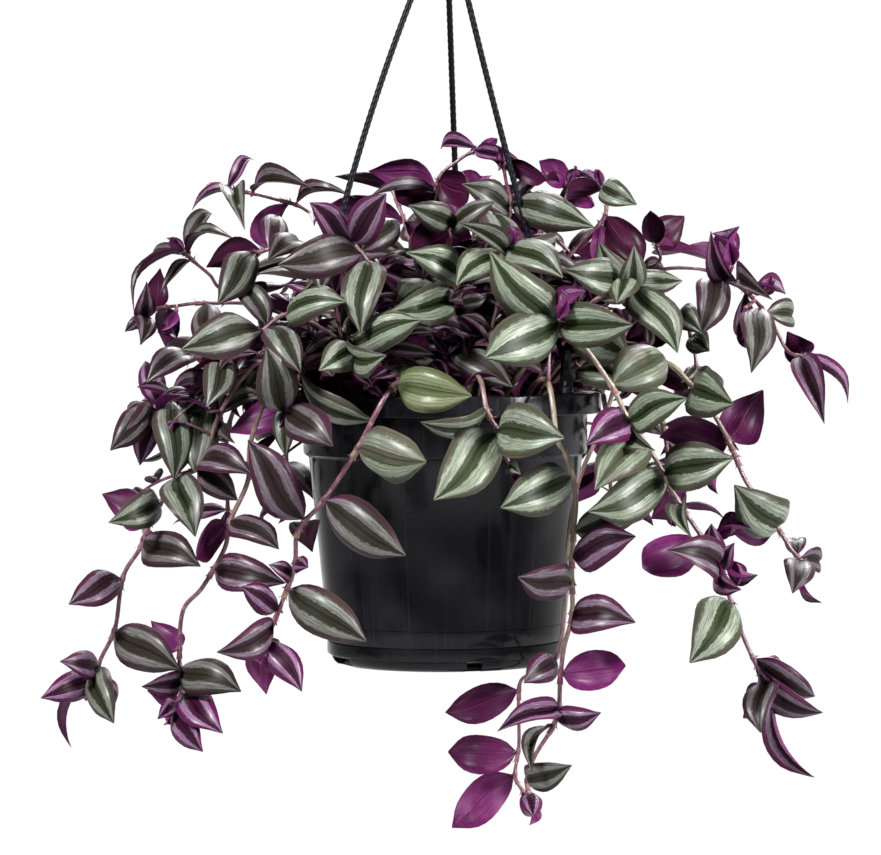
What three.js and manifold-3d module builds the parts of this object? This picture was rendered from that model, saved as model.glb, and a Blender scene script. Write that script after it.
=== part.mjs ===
// A tradescantia with striped leaves, in a black plastic pot that hangs from a three-strand hanger.
//
// Millimetres, +Z up, the front towards -Y. The pieces are worked out in the pot's own frame, whose
// origin is the middle of the pot's foot. At the end the whole group moves down, so that the part's
// origin is the seat of the hook, the point that bears on whatever the pot hangs from.

import * as THREE from 'three';
import { mergeVertices } from 'three/addons/utils/BufferGeometryUtils.js';
import Module from 'manifold-3d';

const wasm = await Module();
wasm.setup();

// ---- driving dimensions ----

const POT_HEIGHT = 134.5;
const RIM_RADIUS = 78;
const RIM_SKIRT = 10;
const COLLAR_RADIUS = 71;
const STEP_HEIGHT = 104.7;
const FOOT_RADIUS = 54.8;
const WALL = 1.5;
const LIP = 2;
const FLOOR = 2;
const POT_SIDES = 28;
const DRAIN_HEIGHT = 4.4;
// Azimuth of each drainage slot and its width, in degrees.
const DRAINS = [[-67, 22], [13.5, 7.5], [66.8, 7.5], [120, 22], [173, 7.5], [240, 7.5]];

const SOIL_TOP = 119.5;
const SOIL_GAP = 0.35;
const HOLE_DEPTH = 13.5;
const HOLE_CLEARANCE = 3;

const HUB_X = 1.8;
const HUB_BASE = 362;
const HUB_RADIUS = 6.2;
const HUB_HEIGHT = 11;
const HOOK_ROD = 2.1;
const HOOK_BEND = 12.6;
const HOOK_CENTRE = HUB_BASE + 37;
const HOOK_SEAT = HOOK_CENTRE + HOOK_BEND - HOOK_ROD;

const STRAND_RADIUS = 1.6;
const CLIP_RADIUS = 74;
const CLIP_THICK = 2.4;
// Degrees round from the front towards +X, and how far each strand bows outwards.
const CLIP_ANGLES = { front_right: 53, back: 173, front_left: 293 };
const STRAND_BOW = { front_right: -2, back: 0, front_left: 7 };

const TRAIL_STEM = 1.8;
const CROWN_STEM = 1.5;
const STEM_SIDES = 4;
const STEM_STEP = 22;

const LEAF_KEEL = 2;
const LEAF_WIDTH = 0.45;
const LEAF_ARCH = 0.07;
const LEAF_ROOT = 1.2;
const LEAF_STATIONS = [0, 0.22, 0.64, 1];
const CLEAR = 0.5;
// A few cubic millimetres of two blades may meet on one stem, where they share a sheath.
const OWN_OVERLAP = 5;
// Leaves of one place stand a little apart along the stem.
const APART = 0.15;

// Where the eye stands that the front view is drawn from, in the pot's frame.
const EYE = new THREE.Vector3(-2, -1800, 181);

const PLASTIC = new THREE.MeshStandardMaterial({ color: 0x17171a, roughness: 0.42, metalness: 0 });
const GLOSSY = new THREE.MeshStandardMaterial({ color: 0x0d0d0f, roughness: 0.25, metalness: 0 });
const SOIL = new THREE.MeshStandardMaterial({ color: 0x2a1d15, roughness: 0.95, metalness: 0 });
const FOLIAGE = new THREE.MeshStandardMaterial({
  color: 0x6f7f62, roughness: 0.5, metalness: 0,
});

// ---- solids ----

function toSolid(geometry) {
  geometry.deleteAttribute('normal');
  geometry.deleteAttribute('uv');
  const merged = mergeVertices(geometry, 1e-4);
  return new wasm.Manifold(new wasm.Mesh({
    numProp: 3,
    vertProperties: new Float32Array(merged.attributes.position.array),
    triVerts: new Uint32Array(merged.index.array),
  }));
}

function toMesh(name, solid, material) {
  const { vertProperties, triVerts } = solid.getMesh();
  const geometry = new THREE.BufferGeometry();
  geometry.setAttribute('position', new THREE.BufferAttribute(vertProperties, 3));
  geometry.setIndex(new THREE.BufferAttribute(triVerts, 1));
  geometry.computeVertexNormals();
  const mesh = new THREE.Mesh(geometry, material);
  mesh.name = name;
  return mesh;
}

function lathe(profile, sides) {
  const points = profile.map(([r, z]) => new THREE.Vector2(r, z));
  return toSolid(new THREE.LatheGeometry(points, sides).rotateX(Math.PI / 2));
}

function block(size, place, turn = 0) {
  const geometry = new THREE.BoxGeometry(...size).translate(...place);
  return toSolid(geometry.rotateZ(turn));
}

// A round rod along a curve, with an n-sided section.
function tube(curve, radius, sides, steps) {
  const ring = [];
  for (let i = 0; i < sides; i += 1) {
    const a = (2 * Math.PI * i) / sides;
    ring.push(new THREE.Vector2(radius * Math.cos(a), radius * Math.sin(a)));
  }
  const section = new THREE.Shape(ring);
  return toSolid(new THREE.ExtrudeGeometry(section, { steps, extrudePath: curve, bevelEnabled: false }));
}

// Degrees round from the front towards +X, as a turn about +Z.
const azimuth = (degrees) => THREE.MathUtils.degToRad(degrees - 90);

// A radius and a height at an azimuth, as a point.
function around(degrees, radius, z) {
  const a = azimuth(degrees);
  return new THREE.Vector3(radius * Math.cos(a), radius * Math.sin(a), z);
}

// ---- pot ----

function makePot() {
  const skirtInside = RIM_RADIUS - WALL;
  const skirtFoot = POT_HEIGHT - RIM_SKIRT;
  const inside = COLLAR_RADIUS - WALL;
  let pot = lathe([
    [0, 0], [FOOT_RADIUS, 0], [56.8, 1.6], [57.8, 4.4], [59.7, 5.2], [59.7, 9.8], [59.2, 11.2],
    [68.3, STEP_HEIGHT - 1.2], [COLLAR_RADIUS - 0.8, STEP_HEIGHT - 0.4], [COLLAR_RADIUS, STEP_HEIGHT + 0.6],
    [COLLAR_RADIUS, POT_HEIGHT - LIP], [skirtInside, POT_HEIGHT - LIP], [skirtInside, skirtFoot],
    [RIM_RADIUS, skirtFoot], [RIM_RADIUS, POT_HEIGHT - 1], [RIM_RADIUS - 1, POT_HEIGHT],
    [inside, POT_HEIGHT], [inside, STEP_HEIGHT + 0.2], [68.3 - WALL, STEP_HEIGHT - 2],
    [57.9, 11.2], [56, 4.4], [54.4, FLOOR], [0, FLOOR],
  ], POT_SIDES);
  for (const [degrees, width] of DRAINS) {
    const across = 2 * 58 * Math.sin(THREE.MathUtils.degToRad(width / 2));
    const size = [12, across, DRAIN_HEIGHT];
    pot = pot.subtract(block(size, [58.5, 0, DRAIN_HEIGHT / 2 - 0.2], azimuth(degrees)));
  }
  for (const degrees of Object.values(CLIP_ANGLES)) {
    const slot = block([CLIP_THICK + 0.8, 7.8, 6], [CLIP_RADIUS, 0, POT_HEIGHT], azimuth(degrees));
    pot = pot.subtract(slot);
  }
  return pot;
}

function makeSoil(holes) {
  const gap = SOIL_GAP;
  let soil = lathe([
    [0, FLOOR + gap], [54, FLOOR + gap], [57.4, 11.2], [66.8 - gap, STEP_HEIGHT - 2],
    [69.5 - gap, STEP_HEIGHT + 0.5], [69.5 - gap, SOIL_TOP - 1.5], [64, SOIL_TOP], [0, SOIL_TOP],
  ], POT_SIDES);
  for (const [x, y, radius] of holes) {
    const hole = new THREE.CylinderGeometry(radius, radius, HOLE_DEPTH, 4).rotateX(Math.PI / 2);
    soil = soil.subtract(toSolid(hole.translate(x, y, SOIL_TOP - HOLE_DEPTH / 2 + 0.5)));
  }
  return soil;
}

// ---- hanger ----

function makeHook() {
  const points = [
    new THREE.Vector3(HUB_X, 0, HUB_BASE + HUB_HEIGHT - 1),
    new THREE.Vector3(HUB_X, 0, HUB_BASE + HUB_HEIGHT + 3),
  ];
  for (let degrees = -50; degrees <= 205; degrees += 25.5) {
    const a = THREE.MathUtils.degToRad(degrees);
    points.push(new THREE.Vector3(
      HUB_X + HOOK_BEND * Math.cos(a), 0, HOOK_CENTRE + HOOK_BEND * Math.sin(a),
    ));
  }
  const rod = tube(new THREE.CatmullRomCurve3(points), HOOK_ROD, 8, 20);
  const hub = lathe([
    [0, HUB_BASE], [HUB_RADIUS, HUB_BASE], [HUB_RADIUS, HUB_BASE + HUB_HEIGHT - 3],
    [3, HUB_BASE + HUB_HEIGHT], [0, HUB_BASE + HUB_HEIGHT],
  ], 12).translate([HUB_X, 0, 0]);
  let hook = hub.add(rod);
  for (const side of Object.keys(CLIP_ANGLES)) {
    hook = hook.subtract(tube(strandCurve(side), STRAND_RADIUS + 0.35, 6, 8));
  }
  return hook;
}

// A strand bows a little outwards between its clip and the hub.
function strandCurve(side) {
  const degrees = CLIP_ANGLES[side];
  const foot = around(degrees, CLIP_RADIUS - 1.5, POT_HEIGHT + 17);
  const head = around(degrees, 2.9, HUB_BASE + 5).add(new THREE.Vector3(HUB_X, 0, 0));
  const points = [];
  for (let i = 0; i <= 6; i += 1) {
    const s = i / 6;
    const point = foot.clone().lerp(head, s);
    point.add(around(degrees, STRAND_BOW[side] * 4 * s * (1 - s), 0));
    points.push(point);
  }
  return new THREE.CatmullRomCurve3(points);
}

// The clip is a tapering tab that stands on the lip, with a tongue through the lip's slot and a
// barb under it. Its outline is drawn flat, across and up, and stood up at the strand's azimuth.
function makeStrand(side) {
  const under = -LIP - 0.35;
  const outline = new THREE.Shape([
    [-4.5, 0.35], [-3.4, 0.35], [-3.4, under], [-4.4, under], [-3, under - 5], [3, under - 5],
    [4.4, under], [3.4, under], [3.4, 0.35], [4.5, 0.35], [4.2, 6], [1.9, 22], [-1.9, 22], [-4.2, 6],
  ].map(([x, y]) => new THREE.Vector2(x, y)));
  const plate = new THREE.ExtrudeGeometry(outline, { depth: CLIP_THICK, bevelEnabled: false });
  plate.translate(0, 0, -CLIP_THICK / 2).rotateX(Math.PI / 2).rotateZ(Math.PI / 2);
  plate.translate(CLIP_RADIUS, 0, POT_HEIGHT).rotateZ(azimuth(CLIP_ANGLES[side]));
  return toSolid(plate).add(tube(strandCurve(side), STRAND_RADIUS, 6, 8));
}

// ---- stems and leaves ----

// A place in the front view, x to the right and z up on the plane through the pot's axis, carried
// along the line of sight to its depth y.
function seen(x, z, y) {
  const k = (y - EYE.y) / -EYE.y;
  return new THREE.Vector3(EYE.x + (x - EYE.x) * k, y, EYE.z + (z - EYE.z) * k);
}

// The half-width of a leaf at s from base to tip, as a share of its greatest half-width: broad and
// round near the base, running out to a fine tip.
const outline = (s) => Math.sin(Math.PI * s ** 0.62) ** 0.8;

// A blade as a closed solid: a three-sided ball drawn out from base to tip, with its upper side
// flat from edge to edge and a keel along its underside. The whole blade arches to the upper side.
function blade(leaf, extra = 0) {
  const length = leaf.tip.distanceTo(leaf.base);
  const forward = leaf.tip.clone().sub(leaf.base).normalize();
  const upper = leaf.upper.clone().addScaledVector(forward, -leaf.upper.dot(forward)).normalize();
  const across = forward.clone().cross(upper);
  const half = (leaf.width * length) / 2 + extra;
  const rings = LEAF_STATIONS.length - 1;
  const geometry = new THREE.SphereGeometry(1, 3, rings);
  const position = geometry.attributes.position;
  for (let i = 0; i < position.count; i += 1) {
    const polar = Math.acos(THREE.MathUtils.clamp(position.getY(i), -1, 1));
    const station = Math.round((rings * polar) / Math.PI);
    const s = LEAF_STATIONS[station];
    const inner = station > 0 && station < rings;
    const side = inner && Math.abs(position.getZ(i)) > 0.1 ? Math.sign(position.getZ(i)) : 0;
    const keel = inner && side === 0 ? -LEAF_KEEL - extra : 0;
    const edge = inner && side !== 0 ? extra : 0;
    const point = leaf.base.clone().lerp(leaf.tip, s)
      .addScaledVector(forward, s === 1 ? extra : -LEAF_ROOT * (1 - s))
      .addScaledVector(across, side * half * outline(s))
      .addScaledVector(upper, LEAF_ARCH * length * 4 * s * (1 - s) + keel + edge);
    position.setXYZ(i, point.x, point.y, point.z);
  }
  return toSolid(geometry);
}

// Everything placed so far, as solids with the node that each belongs to.
const placed = [];

function overlapWith(solid, node) {
  const box = solid.boundingBox();
  let own = 0;
  for (const other of placed) {
    const apart = [0, 1, 2].some((i) => other.box.min[i] > box.max[i] || other.box.max[i] < box.min[i]);
    if (!apart) {
      const volume = solid.intersect(other.solid).volume();
      if (other.node !== node && volume > 1e-6) {
        return Infinity;
      }
      own += other.stem ? 0 : volume;
    }
  }
  return own;
}

function place(solid, node, stem = false) {
  placed.push({ solid, node, stem, box: solid.boundingBox() });
}

// The point of a stem's faceted rod that is nearest to the place t on its curve.
function rootPoint(stem, t) {
  const wanted = stem.curve.getPoint(t);
  let best = null;
  for (let i = 1; i < stem.spine.length; i += 1) {
    const chord = new THREE.Line3(stem.spine[i - 1], stem.spine[i]);
    const point = chord.closestPointToPoint(wanted, true, new THREE.Vector3());
    if (!best || point.distanceTo(wanted) < best.distanceTo(wanted)) {
      best = point;
    }
  }
  return best;
}

// Leaves in the front view: each row is [place along the stem, tip x, tip z, length, turn, width].
// The place counts the stem's points from its collar at the soil. A negative length points away
// from the viewer. The turn rolls the blade about its length, 0 with its upper side to the viewer.
const DEPTH_SHIFTS = [0, 6, -6, 12, -12, 18, -18, 25, -25, 33, -33];
const ROLLS = [0, 24, -24, 48];

function seenLeaves(grown, rows) {
  const last = grown.curve.points.length - 1;
  return rows.map(([at, x, z, size, turn, width = LEAF_WIDTH], i) => {
    const earlier = rows.slice(0, i).filter((row) => Math.abs(row[0] - at) < 0.05).length;
    const base = rootPoint(grown, (at - APART * earlier + 1) / last);
    const flat = Math.hypot(seen(x, z, base.y).x - base.x, seen(x, z, base.y).z - base.z);
    const length = Math.max(Math.abs(size), flat * 1.01);
    const depth = base.y - Math.sign(size) * Math.sqrt(length * length - flat * flat);
    const choices = [];
    for (const shift of DEPTH_SHIFTS) {
      for (const roll of ROLLS) {
        const tip = seen(x, z, depth + shift);
        const forward = tip.clone().sub(base).normalize();
        const upper = EYE.clone().sub(base).normalize();
        upper.addScaledVector(forward, -upper.dot(forward)).normalize();
        upper.applyAxisAngle(forward, THREE.MathUtils.degToRad(turn + roll));
        choices.push({ base, tip, upper, width });
      }
    }
    return choices;
  });
}

// Leaves set by the plant's own habit: in two rows, one on each side of the stem, standing out and
// forward, shorter towards the shoot's tip.
const TURNS = [0, 20, -20, 40, -40, 60, -60, 85, -85, 120, -120];
const UP = new THREE.Vector3(0, 0, 1);

function grownLeaves(grown, from, until, number, random) {
  const rows = [];
  for (let i = 0; i < number; i += 1) {
    const s = number > 1 ? i / (number - 1) : 0;
    const t = from + (until - from) * s;
    const base = rootPoint(grown, t);
    const forward = grown.curve.getTangent(t);
    const outward = new THREE.Vector3(base.x, base.y, 0).normalize();
    const side = forward.clone().cross(UP);
    side.addScaledVector(outward, side.length() < 0.3 ? 0.8 : 0).normalize();
    const sign = i % 2 ? -1 : 1;
    const size = (48 - 20 * s * s) * (0.85 + 0.3 * random());
    const spread = 0.75 + 0.35 * random();
    const lift = 0.35 * (random() - 0.45);
    const roll = 70 * (random() - 0.5);
    const choices = [];
    for (const scale of [1, 0.8]) {
      for (const turn of TURNS) {
        const aim = side.clone().multiplyScalar(sign * spread)
          .addScaledVector(forward, 0.45).addScaledVector(outward, 0.25).addScaledVector(UP, lift);
        aim.applyAxisAngle(forward, THREE.MathUtils.degToRad(turn)).normalize();
        const tip = base.clone().addScaledVector(aim, size * scale);
        const upper = UP.clone().addScaledVector(outward, 0.6);
        upper.addScaledVector(aim, -upper.dot(aim)).normalize();
        upper.applyAxisAngle(aim, THREE.MathUtils.degToRad(roll));
        choices.push({ base, tip, upper, width: LEAF_WIDTH });
      }
    }
    rows.push(choices);
  }
  return rows;
}

// Numbers from 0 to 1 in a fixed order for each stem.
function seeded(seed) {
  let state = seed >>> 0;
  return () => {
    state = (Math.imul(state, 1664525) + 1013904223) >>> 0;
    return state / 4294967296;
  };
}

// Each stem: its hole in the soil [x, y], its route in the front view [x, z, depth y] from the
// soil on, its leaves, and how many more leaves grow on its first stretch, inside the plant.
const STEMS = {
  trail_left_far: {
    hole: [-46, -16], radius: TRAIL_STEM, inner: 1,
    route: [
      [-66, 158, -34], [-92, 152, -42], [-112, 126, -42], [-122, 100, -40], [-135, 92, -38],
      [-148, 71, -36], [-153, 58, -36], [-162, 43, -36], [-166, 18, -36], [-173, 3, -36], [-178, -9, -36],
    ],
    leaves: [
      [4, -98, 95, 42, 0], [4.1, -105, 82, 40, 0], [4.8, -126, 64, 46, 0], [5.6, -168, 71, 42, 0],
      [6, -172, 85, -40, 180], [6.1, -140, 58, -34, 80], [6.7, -125, 49, 44, 0], [8, -189, 30, 42, 20],
      [9.1, -135, -3, 50, 0], [10.3, -168, -30, 42, 30], [10.5, -192, 1, 34, 0], [11, -203, -17, 36, 0],
      [11, -190, -42, -38, 90, 0.3], [11, -166, -20, -26, 0],
    ],
  },
  trail_left_near: {
    hole: [-36, -36], radius: TRAIL_STEM, inner: 1,
    route: [
      [-56, 154, -56], [-84, 140, -64], [-97, 112, -64], [-99, 91, -62], [-108, 71, -60],
      [-111, 57, -58], [-122, 38, -56], [-132, 26, -54], [-134, 3, -54], [-133, -14, -54], [-136, -22, -54],
    ],
    leaves: [
      [5, -84, 57, 36, 0], [5.1, -125, 52, 36, 150], [6.5, -82, 40, 42, 0], [7.2, -152, 21, 44, 30],
      [8, -145, 28, 28, 0], [8.8, -148, 21, -30, 180], [9.3, -105, -14, 44, 0], [9.5, -153, -12, 32, 0],
      [10.2, -114, -34, 42, 0], [10.8, -150, -14, -28, 180], [11, -124, -44, 38, 20],
      [11, -145, -28, 26, 0],
    ],
  },
  trail_front_left: {
    hole: [-14, -52], radius: TRAIL_STEM, inner: 0,
    route: [
      [-18, 142, -68], [-24, 139, -84], [-31, 131, -92], [-45, 105, -92], [-61, 81, -86],
      [-74, 66, -80], [-76, 48, -78], [-84, 26, -76], [-91, 11, -76],
    ],
    leaves: [
      [2, 13, 133, 42, 0, 0.52], [2, -26, 156, -34, 0], [3.9, -10, 100, 48, 0, 0.54], [5, -21, 53, 52, 0],
      [5.7, -99, 111, 48, 0], [5.9, -67, 56, -34, 180], [6.9, -70, 48, 20, 0], [7.3, -88, 49, 22, 0],
      [7.5, -40, 10, 50, 0], [8, -102, 38, 30, 0], [8.4, -115, 5, 40, 0], [9, -73, -14, 36, 0],
      [9, -91, -15, -36, 180],
    ],
  },
  spill_left_front: {
    hole: [-40, -26], radius: CROWN_STEM, inner: 1,
    route: [[-56, 150, -46], [-70, 147, -62], [-80, 125, -70]],
    leaves: [
      [2.2, -36, 120, 46, 0], [3, -89, 157, 42, 0, 0.5], [3, -58, 109, 44, 0], [3, -81, 103, 44, 30],
      [3, -108, 115, -40, 180],
    ],
  },
  spill_left: {
    hole: [-54, 4], radius: CROWN_STEM, inner: 1,
    route: [[-70, 156, -6], [-97, 137, -16], [-120, 131, -22], [-137, 132, -24], [-147, 127, -24]],
    leaves: [
      [3, -126, 96, 46, 0], [4, -136, 92, 46, 10], [4.4, -150, 152, -30, 0], [5, -167, 108, 38, 0],
      [5, -160, 116, 26, 0], [5, -153, 99, 36, 0],
    ],
  },
  crown_left_low: {
    hole: [-54, -8], radius: CROWN_STEM, inner: 1,
    route: [[-72, 154, -20], [-94, 157, -32], [-108, 152, -36], [-125, 153, -38]],
    leaves: [
      [2, -105, 131, 36, 0], [3, -119, 130, 40, 0], [4, -149, 142, 38, 0], [4, -138, 162, -36, 0],
    ],
  },
  crown_left: {
    hole: [-44, 14], radius: CROWN_STEM, inner: 2,
    route: [
      [-62, 160, 6], [-90, 178, 0], [-120, 180, -6], [-133, 179, -8], [-145, 177, -10], [-150, 173, -10],
    ],
    leaves: [
      [3, -118, 158, 36, 0], [4.5, -138, 157, -28, 180], [5, -142, 196, -26, 180], [6, -149, 188, 24, 0],
      [6, -151, 163, 26, 0], [6, -160, 167, 26, 0],
    ],
  },
  crown_left_front: {
    hole: [-26, -44], radius: CROWN_STEM, inner: 1,
    route: [[-42, 152, -54], [-66, 170, -62], [-80, 174, -66], [-91, 166, -68]],
    leaves: [[3, -51, 181, 44, 0], [4, -131, 158, 50, 0], [4, -72, 145, 48, 0], [4, -100, 190, -30, 0]],
  },
  crown_left_high: {
    hole: [-34, 20], radius: CROWN_STEM, inner: 2,
    route: [
      [-58, 166, 22], [-92, 184, 16], [-111, 187, 8], [-117, 194, 4], [-124, 200, 2], [-130, 206, 0],
    ],
    leaves: [
      [5.2, -143, 186, 30, 0], [5.7, -108, 216, 34, 0], [6, -158, 181, 46, 40, 0.3],
      [6, -116, 228, -32, 0], [6, -149, 205, -26, 0],
    ],
  },
  crown_top_left: {
    hole: [-26, 8], radius: CROWN_STEM, inner: 2,
    route: [
      [-38, 170, 6], [-58, 214, 2], [-70, 227, 0], [-85, 232, -2], [-97, 235, -4], [-108, 237, -4],
    ],
    leaves: [
      [1.3, -66, 190, 46, 0, 0.6], [1.6, -24, 206, 44, 0, 0.6], [3.2, -89, 236, 26, 0],
      [3.3, -47, 236, 32, 0], [3.5, -93, 206, 34, 180], [4.9, -68, 240, 36, 0],
      [5.7, -101, 222, 34, 20], [6, -95, 254, -24, 0, 0.35], [6, -126, 229, 24, 0],
    ],
  },
  crown_left_middle: {
    hole: [-22, -14], radius: CROWN_STEM, inner: 1,
    route: [[-34, 165, -20], [-52, 196, -32], [-72, 210, -38], [-94, 205, -40]],
    leaves: [
      [2.2, -40, 214, 30, 0], [2.6, -62, 186, 38, 0], [3, -87, 203, 36, 0], [4, -113, 181, 42, 0],
      [4, -119, 198, -34, 180], [4, -82, 224, -32, 0],
    ],
  },
  crown_front_left: {
    hole: [-10, -38], radius: CROWN_STEM, inner: 1,
    route: [[-14, 150, -46], [-22, 181, -56], [-36, 198, -64], [-46, 210, -68]],
    leaves: [
      [3.2, -42, 165, 46, 0], [3.4, -82, 200, 48, 0], [3.6, -22, 221, -34, 0], [4, -29, 234, 38, 0, 0.5],
      [4, -67, 230, 42, 0],
    ],
  },
  crown_front_low: {
    hole: [-22, -32], radius: CROWN_STEM, inner: 0,
    route: [[-32, 146, -50], [-47, 158, -66]],
    leaves: [[2, -12, 171, 42, 0], [2, -62, 147, 38, 0], [2, -31, 153, 36, 0]],
  },
  crown_middle: {
    hole: [4, -30], radius: CROWN_STEM, inner: 1,
    route: [[2, 157, -48], [5, 178, -56], [9, 194, -60], [20, 203, -62], [28, 205, -62]],
    leaves: [
      [1, 33, 138, 44, 0], [2, -26, 176, 46, 0], [2.8, -17, 205, 40, 0], [5, 7, 190, 40, 0],
    ],
  },
  crown_front: {
    hole: [14, -36], radius: CROWN_STEM, inner: 0,
    route: [[20, 150, -50], [28, 185, -60], [33, 207, -68]],
    leaves: [
      [3, 58, 193, 46, 0], [3, 19, 224, -36, 0, 0.55], [3, 9, 220, 38, 0, 0.3], [3, 57, 214, -38, 0],
    ],
  },
  trail_right_front: {
    hole: [24, -46], radius: TRAIL_STEM, inner: 0,
    route: [
      [40, 148, -66], [58, 170, -86], [67, 161, -90], [83, 138, -88], [93, 118, -84], [105, 101, -80],
      [116, 80, -76], [136, 49, -72], [142, 31, -70], [151, 6, -68], [164, -18, -66],
    ],
    leaves: [
      [2, 20, 152, 52, 0, 0.5], [2, 93, 168, 46, 0, 0.5], [2, 24, 204, 56, 0, 0.42],
      [2, 65, 189, 26, 30, 0.35], [4, 110, 153, -44, 0, 0.55], [4.9, 120, 131, 38, 0, 0.5],
      [4.8, 72, 109, 42, 0], [5.1, 104, 105, 34, 0, 0.35], [5.4, 75, 86, 50, 0], [6.6, 72, 75, 52, 0],
      [6.6, 143, 101, 46, 0, 0.55], [7, 103, 71, -36, 180], [7.1, 122, 63, 32, 30, 0.35],
      [7.6, 98, 46, 46, 180], [8, 113, 55, 44, 0], [8.1, 147, 35, 34, 40], [8.1, 133, 68, 30, 0],
      [8.2, 144, 58, 28, 0], [9.1, 123, 0, 52, 0, 0.5], [11, 184, -60, 46, 60, 0.25],
      [11, 149, -29, -34, 180], [11, 157, -36, 38, 0], [11, 167, -4, -28, 0], [11, 188, -28, 34, 0],
      [11, 185, -20, 26, 0],
    ],
  },
  trail_right: {
    hole: [50, -22], radius: TRAIL_STEM, inner: 1,
    route: [
      [72, 152, -36], [108, 150, -44], [123, 138, -44], [131, 128, -44], [139, 115, -46],
      [145, 102, -48], [150, 90, -48], [158, 78, -48], [166, 66, -48], [173, 55, -48], [178, 49, -48],
    ],
    leaves: [
      [3.1, 144, 128, 48, 0, 0.55], [3.5, 120, 128, -34, 180], [5.3, 159, 135, -40, 180, 0.55],
      [5.5, 108, 112, -42, 180, 0.5], [6, 136, 83, 34, 90, 0.3], [9, 146, 86, 48, 0, 0.5],
      [9, 141, 66, -44, 180], [10.6, 176, 60, -24, 0], [11, 174, 35, 36, 0], [11, 188, 28, 40, 60, 0.25],
      [11, 187, 50, -26, 0],
    ],
  },
  crown_right: {
    hole: [44, 10], radius: CROWN_STEM, inner: 2,
    route: [
      [68, 165, 6], [100, 192, 0], [125, 196, -4], [144, 189, -6], [155, 180, -8], [164, 168, -10],
      [171, 155, -12], [179, 151, -12],
    ],
    leaves: [
      [1.6, 78, 206, 46, 0, 0.6], [1.8, 104, 168, 46, 0, 0.6], [4, 133, 212, 34, 0],
      [4, 116, 206, -40, 180], [4, 128, 166, 44, 0, 0.5], [4.1, 161, 183, 34, 0],
      [4.6, 150, 165, -32, 0], [5.3, 154, 149, 44, 0, 0.5], [5.5, 174, 170, -28, 0, 0.6],
      [8, 172, 163, -26, 180, 0.7], [8, 189, 121, 40, 0], [8, 203, 130, 34, 0],
    ],
  },
  crown_right_high: {
    hole: [30, 16], radius: CROWN_STEM, inner: 2,
    route: [[55, 168, 14], [90, 192, 8], [107, 199, 4], [106, 208, 4]],
    leaves: [[3.4, 127, 206, -34, 150, 0.3], [4, 120, 222, -30, 180, 0.6], [4, 103, 225, 24, 180, 0.5]],
  },
  crown_top_right: {
    hole: [20, 2], radius: CROWN_STEM, inner: 2,
    route: [[40, 172, -4], [64, 205, -10], [79, 220, -12], [81, 230, -12], [79, 237, -12]],
    leaves: [
      [3, 80, 196, 40, 180, 0.5], [3.3, 99, 197, 36, 180, 0.5], [4.6, 60, 231, 30, 180],
      [5, 96, 228, 28, 0, 0.5], [5, 65, 243, -26, 0],
    ],
  },
  crown_top_back: {
    hole: [10, 14], radius: CROWN_STEM, inner: 2,
    route: [[28, 172, 12], [48, 214, 6], [62, 238, 0]],
    leaves: [
      [1.5, 60, 188, 40, 0, 0.6], [1.6, 20, 206, 40, 30, 0.6], [3, 48, 250, -28, 180, 0.5],
      [3, 80, 244, -26, 0], [3, 76, 228, 34, 180],
    ],
  },
  crown_top_middle: {
    hole: [8, -4], radius: CROWN_STEM, inner: 1,
    route: [[18, 166, -10], [28, 205, -16], [33, 228, -18], [31, 240, -18], [30, 247, -18]],
    leaves: [
      [3, 74, 218, 52, 0, 0.4], [3, 58, 241, -40, 0, 0.35], [3, 10, 239, 36, 0], [5, 52, 241, 30, 180],
    ],
  },
  crown_top: {
    hole: [-6, 6], radius: CROWN_STEM, inner: 2,
    route: [[-5, 170, 4], [-6, 214, 2], [-3, 240, 0], [8, 251, -2], [17, 256, -2]],
    leaves: [
      [1.2, 26, 192, 46, 0, 0.6], [1.3, -32, 196, 44, 0, 0.6], [2.9, -24, 230, 34, 180],
      [3, 12, 230, 36, 180, 0.6], [3, -37, 246, -42, 180, 0.4],
      [3, -37, 233, 42, 20, 0.3], [5, -2, 257, -24, 0, 0.35], [5, 40, 249, 28, 0, 0.35],
      [5, 29, 246, 26, 180, 0.35],
    ],
  },
  crown_centre: {
    hole: [-6, -14], radius: CROWN_STEM, inner: 1,
    route: [[0, 165, -24], [2, 200, -34], [4, 218, -40]],
    leaves: [
      [1.3, 32, 172, 46, 0, 0.55], [1.4, -26, 176, 46, 20, 0.55], [3, -16, 228, 34, 0],
      [3, -14, 200, 40, 180, 0.6], [3, 25, 230, 34, 0],
    ],
  },
  crown_right_front: {
    hole: [28, -16], radius: CROWN_STEM, inner: 2,
    route: [[50, 160, -32], [78, 182, -44], [95, 187, -50]],
    leaves: [
      [1.4, 92, 152, 44, 0, 0.6], [1.6, 34, 178, 40, 0, 0.6], [2.8, 95, 206, 32, 0],
      [3, 116, 156, 50, 0, 0.42], [3, 86, 179, 36, 0], [3, 119, 190, 34, 0],
      [3, 61, 196, 46, 0],
    ],
  },
  crown_right_low: {
    hole: [42, -8], radius: CROWN_STEM, inner: 1,
    route: [[70, 156, -14], [100, 174, -20], [118, 172, -24], [124, 158, -26], [126, 146, -28]],
    leaves: [
      [3, 128, 164, 34, 0], [3.7, 132, 155, 30, 0], [5, 118, 139, 36, 0], [5, 134, 130, -34, 0],
    ],
  },
  spill_front: {
    hole: [8, -54], radius: TRAIL_STEM, inner: 0,
    route: [[14, 142, -70], [18, 140, -84], [21, 125, -93], [26, 116, -94], [28, 108, -93], [33, 97, -92]],
    leaves: [
      [3, -11, 118, 44, 0], [4, 58, 112, 50, 0, 0.55], [4.2, -6, 81, 56, 0, 0.48], [6, 37, 94, 18, 0],
    ],
  },
  trail_front_right: {
    hole: [36, -38], radius: TRAIL_STEM, inner: 0,
    route: [
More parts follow.
